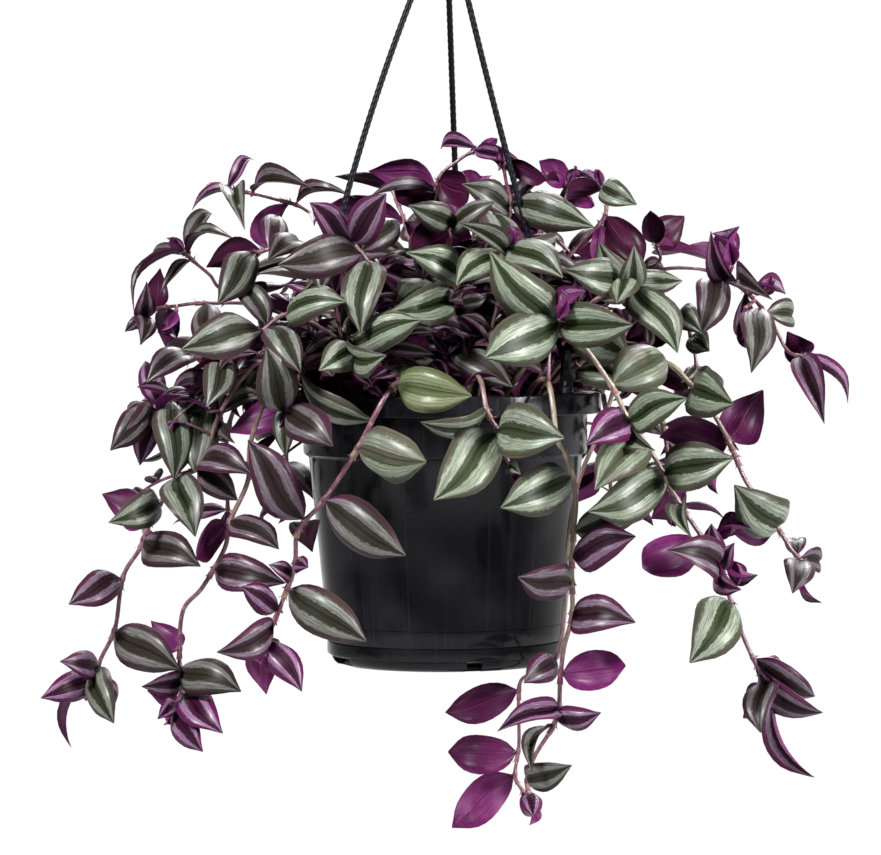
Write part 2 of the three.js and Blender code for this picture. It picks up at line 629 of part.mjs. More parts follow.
      [46, 146, -60], [53, 139, -76], [56, 111, -83], [60, 104, -83], [65, 83, -79], [64, 64, -76],
      [63, 45, -74], [63, 23, -72], [59, 7, -70], [57, -8, -68], [55, -29, -66], [44, -48, -64],
      [40, -60, -64], [42, -72, -64],
    ],
    leaves: [
      [4.6, 28, 77, 50, 0, 0.48], [6, 101, 75, 44, 0, 0.48], [6.7, 94, 62, 40, 0, 0.5],
      [7.3, 36, 42, 42, 0], [8, 94, 19, 42, 0, 0.5], [9.9, 91, -3, 40, 180, 0.5],
      [10.7, 26, -35, 42, 20, 0.3], [11, 76, -27, 28, 0], [11.2, 41, -55, 38, 60, 0.25],
      [13, 62, -53, 34, 0], [13.6, 43, -78, 26, 0],
    ],
  },
  trail_front_right_back: {
    hole: [40, -28], radius: CROWN_STEM, inner: 0,
    route: [
      [62, 152, -32], [84, 146, -44], [80, 122, -58], [66, 88, -62], [60, 50, -60], [59, 25, -58],
      [56, 5, -54], [50, -4, -44], [38, -9, -42], [36, -20, -42], [36, -42, -42], [34, -58, -42],
      [38, -66, -42],
    ],
    leaves: [
      [7.4, 39, -11, 34, 0], [9.3, -1, -26, 42, 180, 0.42], [11.2, 0, -46, 38, 180, 0.52],
      [12, 2, -84, 44, 180, 0.45], [13, 44, -78, -20, 0],
    ],
  },
};

// The stems at the back follow the plant's habit: azimuths round the back, and how far each stem
// rises, reaches out over the rim and hangs down.
const BACK_STEMS = [
  { count: 7, start: 102, step: 26, soil: 57, radius: TRAIL_STEM, leaves: 7, habit: 'trail' },
  { count: 4, start: 138, step: 28, soil: 40, radius: CROWN_STEM, leaves: 7, habit: 'arch' },
  { count: 2, start: 160, step: 40, soil: 24, radius: CROWN_STEM, leaves: 6, habit: 'upright' },
];
// Radius and height of a stem's points, after its collar, for each habit.
const HABITS = {
  trail: [[70, 154], [94, 152], [112, 122], [119, 84], [122, 46]],
  arch: [[56, 164], [82, 192], [108, 196], [130, 182]],
  upright: [[32, 172], [46, 212], [66, 238]],
};

// Behind the pot the trailing stems hang lower than at its sides, in degrees from the middle.
const HIDDEN_BY_POT = 30;

function backStems() {
  const stems = {};
  for (const row of BACK_STEMS) {
    for (let i = 0; i < row.count; i += 1) {
      const random = seeded(1000 + 10 * row.soil + i);
      const degrees = row.start + row.step * i;
      const hole = around(degrees, row.soil, 0);
      const stretch = 0.85 + 0.4 * random();
      const sway = 14 * (random() - 0.5);
      const route = HABITS[row.habit].map(([radius, z], k) => {
        const hang = Math.min(0, z - POT_HEIGHT) * (stretch - 1);
        return around(degrees + sway * k * 0.4, radius + 6 * (random() - 0.5), z + hang);
      });
      const middle = Math.abs(degrees - 180) < HIDDEN_BY_POT;
      if (row.habit === 'trail' && middle) {
        const last = route[route.length - 1];
        route.push(around(degrees + sway * 2, 118, last.z - 10 - 18 * random()));
      } else if (row.habit === 'trail') {
        route.pop();
      }
      stems[`${row.habit}_back_${i + 1}`] = {
        hole: [hole.x, hole.y], radius: row.radius, inner: 0, points: route, grown: row.leaves,
      };
    }
  }
  return stems;
}

// ---- the plant ----

// The whole route is shifted along the line of sight where it would cross what is already there.
const STEM_SHIFTS = [0, 4, -4, 8, -8, 12, -12, 16, -16];

function stemCurve(stem, shift) {
  const [x, y] = stem.hole;
  const collar = SOIL_TOP + 4;
  const route = stem.points
    ? stem.points.map((p) => p.clone().add(new THREE.Vector3(0, shift, 0)))
    : stem.route.map(([px, pz, py]) => seen(px, pz, py + shift));
  const root = new THREE.Vector3(x, y, SOIL_TOP - HOLE_DEPTH + 1);
  return new THREE.CatmullRomCurve3([root, new THREE.Vector3(x, y, collar), ...route], false, 'catmullrom');
}

function clearStem(name, stem) {
  for (const shift of STEM_SHIFTS) {
    const curve = stemCurve(stem, shift);
    const steps = Math.round(curve.getLength() / STEM_STEP);
    const guard = tube(curve, stem.radius + CLEAR, STEM_SIDES, steps);
    if (overlapWith(guard, name) === 0) {
      const spine = curve.getSpacedPoints(steps);
      return { curve, spine, solid: tube(curve, stem.radius, STEM_SIDES, steps) };
    }
  }
  return null;
}

function growLeaves(name, stem, grown) {
  const last = grown.curve.points.length - 1;
  const random = seeded(name.length * 31 + Math.round(stem.hole[0] * 7 + stem.hole[1] * 3) + 5000);
  const rows = seenLeaves(grown, stem.leaves ?? []);
  rows.push(...grownLeaves(grown, 1.7 / last, 2.9 / last, stem.inner, random));
  rows.push(...grownLeaves(grown, 2.2 / last, 1, stem.grown ?? 0, random));
  for (const choices of rows) {
    const leaf = choices.find((choice) => overlapWith(blade(choice, CLEAR), name) < OWN_OVERLAP);
    if (leaf) {
      const solid = blade(leaf);
      place(solid, name);
      grown.solid = grown.solid.add(solid);
    }
  }
}

const group = new THREE.Group();
const add = (name, solid, material) => group.add(toMesh(name, solid, material));

const stems = { ...STEMS, ...backStems() };
const pot = makePot();
add('pot', pot, PLASTIC);
place(pot, 'pot');
const holes = Object.values(stems).map(({ hole, radius }) => [...hole, radius + HOLE_CLEARANCE]);
const soil = makeSoil(holes);
add('soil', soil, SOIL);
place(soil, 'soil');
add('hook', makeHook(), PLASTIC);
for (const side of Object.keys(CLIP_ANGLES)) {
  const strand = makeStrand(side);
  add(`strand_${side}`, strand, GLOSSY);
  place(strand, `strand_${side}`);
}

const grownStems = {};
for (const [name, stem] of Object.entries(stems)) {
  const grown = clearStem(name, stem);
  if (grown) {
    grownStems[name] = grown;
    place(grown.solid, name, true);
  }
}
for (const [name, grown] of Object.entries(grownStems)) {
  growLeaves(name, stems[name], grown);
  add(name, grown.solid, FOLIAGE);
}

group.position.set(-HUB_X, 0, -HOOK_SEAT);
group.updateMatrixWorld(true);

export default group;
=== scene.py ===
# %% [markdown]
# # A potted tradescantia in a hanging pot
#
# The solid model gives the place and the size of every piece: the pot, its soil, the hanger and the
# leafy stems. This lesson dresses those pieces one by one: a round moulded pot, twisted strands with
# their clips, loose soil, and for every stem its own swollen nodes, hairs and striped leaves.

import bmesh
import bpy
import numpy as np
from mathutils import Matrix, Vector


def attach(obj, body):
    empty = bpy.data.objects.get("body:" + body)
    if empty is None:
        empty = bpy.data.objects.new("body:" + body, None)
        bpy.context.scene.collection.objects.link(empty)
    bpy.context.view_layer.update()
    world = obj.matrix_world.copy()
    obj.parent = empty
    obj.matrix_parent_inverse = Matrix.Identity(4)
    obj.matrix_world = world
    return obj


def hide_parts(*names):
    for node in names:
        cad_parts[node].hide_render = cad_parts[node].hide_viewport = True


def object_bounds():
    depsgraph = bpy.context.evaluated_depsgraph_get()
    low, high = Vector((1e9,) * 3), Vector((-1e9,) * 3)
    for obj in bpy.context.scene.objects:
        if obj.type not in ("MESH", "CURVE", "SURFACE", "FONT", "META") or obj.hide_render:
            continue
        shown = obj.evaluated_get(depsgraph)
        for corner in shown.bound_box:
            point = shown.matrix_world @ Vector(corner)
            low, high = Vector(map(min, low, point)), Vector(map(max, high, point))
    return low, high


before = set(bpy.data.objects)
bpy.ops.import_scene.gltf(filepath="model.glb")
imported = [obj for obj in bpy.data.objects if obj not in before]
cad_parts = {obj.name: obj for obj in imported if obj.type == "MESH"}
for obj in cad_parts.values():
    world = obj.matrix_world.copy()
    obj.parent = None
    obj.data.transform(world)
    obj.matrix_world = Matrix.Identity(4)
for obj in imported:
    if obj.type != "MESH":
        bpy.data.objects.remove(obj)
bpy.context.view_layer.update()
cad_box = [list(corner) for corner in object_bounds()]
print("solid model from", cad_box[0], "to", cad_box[1])

# %% Places are worked out in the pot's own millimetres
MM = 0.001
HUB_X = 1.8
HOOK_SEAT = 409.5
ORIGIN = np.array([-HUB_X, 0.0, -HOOK_SEAT])


def in_frame(points):
    """Pot millimetres, with the middle of the pot's foot at zero, to metres from the hook's seat."""
    return (np.asarray(points, float) + ORIGIN) * MM


def unit(vectors):
    """Vectors scaled to length one along their last axis."""
    vectors = np.asarray(vectors, float)
    return vectors / np.linalg.norm(vectors, axis=-1, keepdims=True)


def add_object(name, data):
    """A new object in the scene that shows this data."""
    added = bpy.data.objects.new(name, data)
    bpy.context.scene.collection.objects.link(added)
    return added


# %% [markdown]
# ## The camera
#
# The camera stands far off, a little above the rim, and is tipped down by two degrees. Its long lens
# keeps the near and the far leaves at almost the same scale.

# %% Camera
EYE = np.array([-2.0, -1800.0, 181.0])
PITCH_DOWN = 2.03
ROLL = 0.35
LENS = 147.1
SENSOR_WIDTH = 36
FARTHEST_SEEN = 60

camera_data = bpy.data.cameras.new("long_lens")
camera_data.lens = LENS
camera_data.sensor_width = SENSOR_WIDTH
camera_data.clip_end = FARTHEST_SEEN
camera = add_object("camera", camera_data)
camera.location = in_frame(EYE)
camera.rotation_euler = (np.radians(90 - PITCH_DOWN), np.radians(ROLL), 0)
bpy.context.scene.camera = camera
print("camera at", tuple(camera.location))

# %% [markdown]
# ## Shapes as stacks of rings
#
# A leaf, a stem, a hair, a strand and a pot all have the same build: a ring of points is carried
# along a path and closed by a point at each end. One function joins such a stack into a closed skin,
# and turns it right side out by the sign of the volume that it holds.


# %% A stack of rings becomes a closed skin
def closed_skin(rings, start, end, across=None, along=None):
    """Quads join each ring (rings, points, 3) to the next, and fans join the end rings to a point.
    The place of a corner is (across, along), the same for every ring and round every ring."""
    count, sides = rings.shape[:2]
    vertices = np.vstack([rings.reshape(-1, 3), start, end])
    first = np.arange(sides)
    second = (first + 1) % sides
    row = np.arange(count - 1)[:, None] * sides
    quads = np.stack([row + first, row + second, row + sides + second, row + sides + first], -1)
    quads = quads.reshape(-1, 4)
    last_row = (count - 1) * sides
    pole = np.full(sides, count * sides)
    fans = np.vstack([
        np.stack([pole, second, first], -1),
        np.stack([pole + 1, last_row + first, last_row + second], -1),
    ])
    corners = np.vstack([quads[:, :3], quads[:, [0, 2, 3]], fans])
    a, b, c = (vertices[corners[:, i]] for i in range(3))
    if np.einsum("ij,ij->", a, np.cross(b, c)) < 0:
        quads = quads[:, ::-1]
        fans = fans[:, ::-1]
    across = np.zeros(sides) if across is None else across
    along = np.linspace(0, 1, count) if along is None else along
    middle = np.mean(across)
    place = np.column_stack([np.tile(across, count), np.repeat(along, sides)])
    place = np.vstack([place, [middle, along[0]], [middle, along[-1]]])
    return {"vertices": vertices, "quads": quads, "fans": fans, "place": place}


# %% Skins become one mesh with its UV map and its face values
def build_piece(name, skins, materials, sharp=50, values=()):
    """Skins side by side in one mesh. Each skin holds its vertices, faces, UV place and face values."""
    base = np.cumsum([0] + [len(skin["vertices"]) for skin in skins])[:-1]
    vertices = np.vstack([skin["vertices"] for skin in skins])
    place = np.vstack([skin["place"] for skin in skins])
    loops = np.concatenate([
        np.concatenate([(skin["quads"] + b).ravel(), (skin["fans"] + b).ravel()])
        for skin, b in zip(skins, base)
    ])
    totals = np.concatenate([
        np.repeat([4, 3], [len(skin["quads"]), len(skin["fans"])]) for skin in skins
    ])
    starts = np.concatenate([[0], np.cumsum(totals)[:-1]])
    faces = [len(skin["quads"]) + len(skin["fans"]) for skin in skins]
    slots = np.repeat([skin.get("slot", 0) for skin in skins], faces)
    mesh = bpy.data.meshes.new(name)
    mesh.vertices.add(len(vertices))
    mesh.vertices.foreach_set("co", vertices.astype(np.float32).ravel())
    mesh.loops.add(len(loops))
    mesh.loops.foreach_set("vertex_index", loops.astype(np.int32))
    mesh.polygons.add(len(totals))
    mesh.polygons.foreach_set("loop_start", starts.astype(np.int32))
    mesh.polygons.foreach_set("material_index", slots.astype(np.int32))
    mesh.update(calc_edges=True)
    uv = mesh.uv_layers.new(name="UVMap")
    uv.uv.foreach_set("vector", place[loops].astype(np.float32).ravel())
    for key in values:
        held = [np.broadcast_to(skin.get(key, 0.0), n) for skin, n in zip(skins, faces)]
        layer = mesh.attributes.new(key, "FLOAT", "FACE")
        layer.data.foreach_set("value", np.concatenate(held).astype(np.float32))
    mesh.validate()
    mesh.shade_smooth()
    if sharp:
        mesh.set_sharp_from_angle(angle=np.radians(sharp))
    for material in materials:
        mesh.materials.append(material)
    return add_object(name, mesh)


def settle(piece, node=None):
    """The piece rides with the whole part and may stand for a solid, which is then hidden."""
    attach(piece, "root")
    if node:
        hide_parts(node)
    print(f"{piece.name}: {len(piece.data.polygons)} faces")


# %% A profile turned about the upright axis
def ring_angles(sides):
    """Angles once round, and the share of the way from the seam to the far side and back."""
    angle = 2 * np.pi * np.arange(sides) / sides
    return angle, 1 - np.abs(angle / np.pi - 1)


def turned(profile, sides, centre_x=0.0):
    """Every profile point (radius, height) runs once round the axis. The ends lie on the axis."""
    profile = np.asarray(profile, float)
    angle, round_share = ring_angles(sides)
    inner = profile[1:-1]
    rings = np.stack([
        centre_x + inner[:, :1] * np.cos(angle),
        inner[:, :1] * np.sin(angle),
        np.repeat(inner[:, 1:], sides, axis=1),
    ], -1)
    start, end = (in_frame([centre_x, 0, height]) for height in profile[[0, -1], 1])
    return closed_skin(in_frame(rings), start, end, round_share)


# %% A smooth path through points, and rings along it
def run_of(path):
    """How far along the path each of its points lies."""
    return np.concatenate([[0], np.cumsum(np.linalg.norm(np.diff(path, axis=0), axis=1))])


def smooth_path(points, step):
    """Between p1 and p2 the path is a Catmull-Rom cubic of t,
    p1 + (p2 - p0) t/2 + (2 p0 - 5 p1 + 4 p2 - p3) t²/2 + (3 p1 - p0 - 3 p2 + p3) t³/2,
    with the ends reflected, and is then measured out into even steps."""
    points = np.asarray(points, float)
    whole = np.vstack([2 * points[0] - points[1], points, 2 * points[-1] - points[-2]])
    t = np.linspace(0, 1, 24, endpoint=False)[None, :, None]
    p0, p1, p2, p3 = (whole[i : len(whole) - 3 + i][:, None] for i in range(4))
    squared = (2 * p0 - 5 * p1 + 4 * p2 - p3) * t**2
    cubed = (3 * p1 - p0 - 3 * p2 + p3) * t**3
    dense = p1 + 0.5 * ((p2 - p0) * t + squared + cubed)
    dense = np.vstack([dense.reshape(-1, 3), points[-1]])
    length = run_of(dense)
    even = np.linspace(0, length[-1], max(3, int(round(length[-1] / step)) + 1))
    return np.column_stack([np.interp(even, length, dense[:, i]) for i in range(3)]), even


def frames_along(path):
    """Forward, side and third direction at each point. The side stays near the normal of the plane
    that the path lies closest to, so the rings never twist."""
    forward = unit(np.gradient(path, axis=0))
    normal = np.linalg.svd(path - path.mean(0))[2][-1]
    side = unit(normal - forward * (forward @ normal)[:, None])
    return forward, side, np.cross(forward, side)


def rod(path, radius, sides):
    """A ring of the given radius (a number, one for each point, or one for each point and angle) at
    each point of the path, with a low dome on both ends."""
    forward, side, third = frames_along(path)
    angle, round_share = ring_angles(sides)
    radius = np.asarray(radius, float).reshape(len(np.atleast_1d(radius)), -1)
    radius = np.broadcast_to(radius, (len(path), sides))
    rings = path[:, None] + radius[..., None] * (
        side[:, None] * np.cos(angle)[:, None] + third[:, None] * np.sin(angle)[:, None]
    )
    start = path[0] - forward[0] * radius[0].mean() * 0.5
    end = path[-1] + forward[-1] * radius[-1].mean() * 0.5
    return closed_skin(in_frame(rings), in_frame(start), in_frame(end), round_share, run_of(path) * MM)


# %% [markdown]
# ## Finishes as expressions
#
# A finish is a small formula of the place on the surface: bands, streaks and specks. Wrapping the
# sockets of the shader nodes in a class lets the formula be written as Python sums and products.


# %% Shader maths
class Wire:
    """One output socket, or the maths done on it."""

    def __init__(self, wiring, socket):
        self.wiring = wiring
        self.socket = socket

    def math(self, operation, *values):
        return self.wiring.node("ShaderNodeMath", {"operation": operation}, dict(enumerate(values)))

    def __add__(self, other):
        return self.math("ADD", self, other)

    __radd__ = __add__

    def __sub__(self, other):
        return self.math("SUBTRACT", self, other)

    def __rsub__(self, other):
        return self.math("SUBTRACT", other, self)

    def __mul__(self, other):
        return self.math("MULTIPLY", self, other)

    def __abs__(self):
        return self.math("ABSOLUTE", self)

    def sine(self):
        return self.math("SINE", self)


class Wiring:
    """A node tree, and the one method that makes its nodes."""

    def __init__(self, tree):
        self.tree = tree

    def node(self, kind, settings, sockets, output=0):
        """A node of this kind: its settings first, then the value or wire of each socket."""
        made = self.tree.nodes.new(kind)
        for key, value in settings.items():
            setattr(made, key, value)
        for key, value in sockets.items():
            self.put(made.inputs[key], value)
        return Wire(self, made.outputs[output])

    def put(self, socket, value):
        if isinstance(value, Wire):
            self.tree.links.new(value.socket, socket)
        else:
            socket.default_value = value


class Finish(Wiring):
    """A material. Its call fixes what is the same all over, and set() wires what varies."""

    def __init__(self, name, **fixed):
        self.material = bpy.data.materials.new(name)
        self.material.use_nodes = True
        super().__init__(self.material.node_tree)
        self.shader = next(n for n in self.tree.nodes if n.type == "BSDF_PRINCIPLED")
        self.give(fixed)

    def give(self, sockets):
        for key, value in sockets.items():
            self.put(self.shader.inputs[key.replace("_", " ")], value)

    def set(self, **wired):
        self.give(wired)
        print(f"finish {self.material.name}: {len(self.tree.nodes)} nodes")

    def value(self, name):
        """A number stored on the mesh's faces."""
        return self.node("ShaderNodeAttribute", {"attribute_name": name}, {}, "Fac")

    def uv(self):
        """How far across and how far along the surface a point lies."""
        both = {"Vector": self.node("ShaderNodeUVMap", {"uv_map": "UVMap"}, {})}
        return [self.node("ShaderNodeSeparateXYZ", {}, both, axis) for axis in "XY"]

    def space(self):
        return self.node("ShaderNodeTexCoord", {}, {}, "Object")


# %% Patterns and colours
def point(x, y, z=0.0):
    return x.wiring.node("ShaderNodeCombineXYZ", {}, {"X": x, "Y": y, "Z": z})


def noise(vector, scale=1.0, detail=2.0, rough=0.5):
    sockets = {"Vector": vector, "Scale": scale, "Detail": detail, "Roughness": rough}
    return vector.wiring.node("ShaderNodeTexNoise", {}, sockets)


def rise(value, low, high, bottom=0.0, top=1.0):
    """The bottom number below low, the top one above high, and smooth between them."""
    sockets = {"Value": value, "From Min": low, "From Max": high, "To Min": bottom, "To Max": top}
    return value.wiring.node("ShaderNodeMapRange", {"interpolation_type": "SMOOTHSTEP"}, sockets)


def bump(height, distance, strength):
    sockets = {"Height": height, "Distance": distance, "Strength": strength}
    return height.wiring.node("ShaderNodeBump", {}, sockets)


def linear(colour):
    """A colour as it looks on screen, 0 to 255, as the linear one that a shader takes. A wire stays."""
    if isinstance(colour, Wire):
        return colour
    c = np.array(colour) / 255
    return (*map(float, np.where(c <= 0.04045, c / 12.92, ((c + 0.055) / 1.055) ** 2.4)), 1.0)


def mix(mask, below, above):
    """The colour below where the mask is 0, and above where it is 1."""
    sockets = {0: mask, 6: linear(below), 7: linear(above)}
    return mask.wiring.node("ShaderNodeMix", {"data_type": "RGBA"}, sockets, 2)


def coats(colour, *layers):
    """Layers, each a mask and a colour, laid over the first colour one after another."""
    for mask, over in layers:
        colour = mix(mask, colour, over)
    return colour


# %% [markdown]
# ## The striped leaf
#
# Across a leaf, from the midrib to the edge, there are a dark green or purple band, a broad silvery
# band with a feathered inner side, a dark outer band and a fine purple edge. The silver is made of
# raised clear cells, so it gets a thin coat that the rest hardly has. The underside is wine purple,
# with painted light shining through it: a brighter purple on young leaves and on some at random, with
# painted lilac sheen patches where it is brightest. Young leaves are more purple and lilac, old ones
# greyer, and two have turned yellow-green. The bands follow the leaf's own coordinates: the UV map
# runs from edge to edge and from base to tip.

# %% Leaf finish
SILVER_FROM = 0.26
SILVER_TO = 0.75
SOFT_BORDER = (-0.03, 0.04)

leaf = Finish("striped_leaf", Specular_IOR_Level=0.04, Coat_Roughness=0.34)
leaf_across, leaf_along = leaf.uv()
leaf_seed, leaf_young, leaf_under, leaf_yellow = map(leaf.value, ("seed", "young", "under", "yellow"))
from_rib = abs(leaf_across * 2 - 1)
seed_far = leaf_seed * 37

streak = noise(point(leaf_across * 62, leaf_along * 6, seed_far), detail=4, rough=0.7)
feather = noise(point(leaf_across * 40, leaf_along * 22, seed_far + 5), detail=3)
slow = noise(point(leaf_across * 2.4, leaf_along * 2.6, seed_far + 11))
cells = noise(point(leaf_across * 120, leaf_along * 90, seed_far))
veins = rise((from_rib * 36 + (slow - 0.5) * 3).sine(), 0.6, 1.0)
midrib = 1 - rise(from_rib, 0.02, 0.075)
edge = rise(from_rib, 0.95, 0.99)

dusky = rise(leaf_young, 0.0, 0.5)
purple = rise(leaf_young, 0.45, 1.0)
aged = rise(0 - leaf_young, 0.0, 0.5)
inner_border = SILVER_FROM + dusky * 0.1 + (feather - 0.5) * 0.24 + (slow - 0.5) * 0.16
outer_border = SILVER_TO - dusky * 0.03 + (feather - 0.5) * 0.2 + (slow - 0.5) * 0.14
past_silver = rise(from_rib - outer_border, *SOFT_BORDER)
silver = rise(from_rib - inner_border, *SOFT_BORDER) * (1 - past_silver)
near_base = 1 - rise(leaf_along + (slow - 0.5) * 0.3, 0.06, 0.42)


def by_age(green, dark, young):
    """One band's colour on a green leaf, on a dusky leaf and on a young purple one."""
    return mix(purple, mix(dusky, green, dark), young)


# %% Colours of the leaf's two sides
rib_colour = coats(
    by_age((29, 36, 20), (25, 18, 16), (32, 4, 24)),
    (rise(streak, 0.5, 0.7) * 0.5, by_age((55, 58, 42), (45, 36, 33), (60, 14, 48))),
    (midrib * 0.75, by_age((18, 20, 12), (18, 10, 12), (22, 3, 16))),
)
outer_colour = coats(
    by_age((47, 47, 38), (38, 22, 28), (64, 8, 50)),
    (rise(slow, 0.46, 0.62) * 0.6 * dusky, (46, 20, 38)),
    (near_base * dusky * 0.75, (62, 12, 50)),
)
silver_colour = coats(
    by_age((95, 104, 89), (68, 65, 66), (100, 73, 98)),
    (rise(slow, 0.46, 0.62) * 0.3, by_age((96, 86, 92), (66, 54, 64), (84, 44, 80))),
    (rise(streak, 0.48, 0.6) * 0.6, by_age((58, 63, 51), (40, 33, 36), (58, 22, 52))),
    (rise(0.5 - streak, 0.0, 0.12) * 0.4, by_age((134, 142, 127), (106, 104, 104), (146, 119, 144))),
    (near_base * dusky * 0.55, (92, 66, 94)),
)
yellow_colour = coats(
    mix(silver, (60, 66, 42), (90, 95, 72)),
    (rise(streak, 0.46, 0.66) * 0.5, (72, 79, 52)),
)
upper_colour = coats(
    rib_colour,
    (past_silver, outer_colour),
    (silver, silver_colour),
    (aged * 0.5, (68, 69, 54)),
    (rise(slow, 0.45, 0.65) * 0.45 * aged, (76, 62, 66)),
    (leaf_yellow, yellow_colour),
    (veins * 0.4, by_age((34, 40, 26), (30, 22, 22), (34, 7, 28))),
    (edge * 0.5, by_age((66, 60, 46), (60, 30, 42), (72, 18, 56))),
)
# Painted light through the leaf: a brighter underside colour on young leaves and on some at random, in
# place of light passing through.
painted_glow_through = rise(leaf_young * 0.8 + leaf_seed * 0.2, 0.3, 0.95)
under_colour = coats(
    mix(painted_glow_through, (36, 4, 23), (86, 27, 76)),
    (rise(streak, 0.4, 0.7) * 0.6, (56, 9, 44)),
    # Painted lilac sheen in slow patches where the underside has the painted glow.
    (rise(slow, 0.46, 0.7) * 0.6 * painted_glow_through, (110, 68, 102)),
    (midrib * 0.5, (72, 34, 50)),
    (leaf_yellow * 0.7, (92, 74, 52)),
)
leaf_height = veins * -0.4 + streak * 0.5 + cells * 0.35 * (silver + 0.3) - midrib * 1.6
leaf.set(
    Base_Color=mix(leaf_under, upper_colour, under_colour),
    Coat_Weight=(silver * (streak * 0.5 - 0.05) + 0.12) * (1 - leaf_under * 0.5),
    Roughness=0.46 - silver * 0.06 + (cells - 0.5) * 0.3,
    Normal=bump(leaf_height, 0.0006, 0.8),
)

# %% [markdown]
# ## The stem
#
# Old stems are fleshy and pale, tan to pink, with fine purple and pale streaks along them. Near the
# tips they are purple. The streaks are noise stretched along the stem.

# %% Stem finish
stem_finish = Finish("fleshy_stem", Specular_IOR_Level=0.5)
stem_around, stem_along = stem_finish.uv()
stem_seed = stem_finish.value("seed")
fine_streaks = noise(point(stem_around * 16, stem_along * 260, stem_seed * 29), detail=3)
patches = noise(point(stem_around * 2, stem_along * 60, stem_seed * 13))
purple_share = rise(stem_finish.value("young") * 1.25 + (patches - 0.5) * 1.1, 0.1, 0.7)
stem_colour = coats(
    mix(purple_share, (94, 84, 68), (68, 28, 50)),
    (rise(fine_streaks, 0.5, 0.72) * 0.65, (70, 24, 46)),
    (rise(0.47 - fine_streaks, 0.0, 0.14) * 0.75, (146, 122, 116)),
    (rise(patches, 0.6, 0.8) * 0.3, (112, 108, 72)),
)
stem_finish.set(
    Base_Color=stem_colour,
    Roughness=0.32 + (fine_streaks - 0.5) * 0.3,
    Normal=bump(fine_streaks, 0.0004, 0.5),
)

# %% Hair and sheath finish
hair_finish = Finish("pale_hair", Roughness=0.6)
hair_tint = noise(hair_finish.space(), scale=160, detail=1)
hair_finish.set(Base_Color=mix(hair_tint, (112, 88, 98), (138, 124, 118)))

sheath_finish = Finish("papery_sheath", Roughness=0.6, Specular_IOR_Level=0.3)
sheath_around, sheath_along = sheath_finish.uv()
sheath_veins = noise(point(sheath_around * 20, sheath_along * 300, sheath_finish.value("seed") * 19))
sheath_colour = coats(
    mix(sheath_finish.value("young"), (104, 90, 74), (86, 34, 62)),
    (rise(sheath_veins, 0.4, 0.7), (80, 32, 48)),
)
sheath_finish.set(Base_Color=sheath_colour, Normal=bump(sheath_veins, 0.0004, 0.5))

# %% [markdown]
# ## Black plastics
#
# The pot is moulded in recycled black plastic: not quite black, softly glossy, with a faint orange
# peel, dull rubbed patches, faint upright runs and specks of dust. The hook and the clips are a
# glossier black, and the strands a dull one.

# %% Pot, clip and strand finishes
pot_finish = Finish("moulded_pot", Specular_IOR_Level=0.11)
pot_space = pot_finish.space()
peel = noise(pot_space, scale=420)
rubbed = noise(pot_space, scale=28, detail=4, rough=0.6)
dust = noise(pot_space, scale=900)
pot_around, pot_up = pot_finish.uv()
runs = noise(point(pot_around * 90, pot_up * 5), detail=4, rough=0.6)
pot_colour = coats(
    mix(rise(rubbed, 0.45, 0.75), (14, 14, 16), (23, 23, 27)),
    (rise(runs, 0.52, 0.75) * 0.6, (30, 30, 33)),
    (rise(dust, 0.66, 0.8) * 0.3, (70, 68, 66)),
)
pot_finish.set(
    Base_Color=pot_colour,
    Roughness=0.13 + rise(rubbed, 0.4, 0.8) * 0.14 + rise(runs, 0.5, 0.7) * 0.08,
    Normal=bump(peel, 0.00012, 0.5),
)


def black_plastic(name, gloss, roughness):
    """Black with a slow change of roughness. A thin twisted strand glitters more, so it gets less
    gloss."""
    finish = Finish(name, Specular_IOR_Level=gloss)
    grain = noise(finish.space(), scale=300, detail=3)
    finish.set(
        Base_Color=mix(grain, (6, 7, 10), (14, 15, 19)),
        Roughness=roughness + grain * 0.2,
        Normal=bump(grain, 0.0002, 0.4),
    )
    return finish.material


clip_black = black_plastic("glossy_clip", 0.45, 0.06)
strand_black = black_plastic("twisted_strand", 0.045, 0.24)

# %% [markdown]
# ## Soil
#
# Potting mix is peat with bits of bark and a little white perlite. The crumbs are real lumps, and
# the finish tells bark from peat by a slow noise and adds fine grain in the bump.

# %% Soil finish
soil_finish = Finish("potting_mix", Specular_IOR_Level=0.2)
soil_space = soil_finish.space()
grain = noise(soil_space, scale=700, detail=5, rough=0.7)
bark = noise(soil_space, scale=120)
perlite = noise(soil_space, scale=260, detail=0)
soil_colour = coats(
    mix(rise(bark, 0.45, 0.7), (38, 26, 20), (74, 50, 34)),
    (grain * 0.5, (22, 15, 12)),
    (rise(perlite, 0.76, 0.8), (84, 79, 72)),
)
soil_finish.set(
    Base_Color=soil_colour,
    Roughness=0.85 + grain * 0.12,
    Normal=bump(grain, 0.0012, 0.8),
)

# %% [markdown]
# ## The pot
#
# The pot is one moulding turned about its axis: a foot with a low band, a wall that tapers out to a
# step, a straight collar, and a rim whose skirt turns down over it. The drainage slots at the foot
# and the slots that the clips hook into are cut out of the turned shape afterwards, with a Boolean.

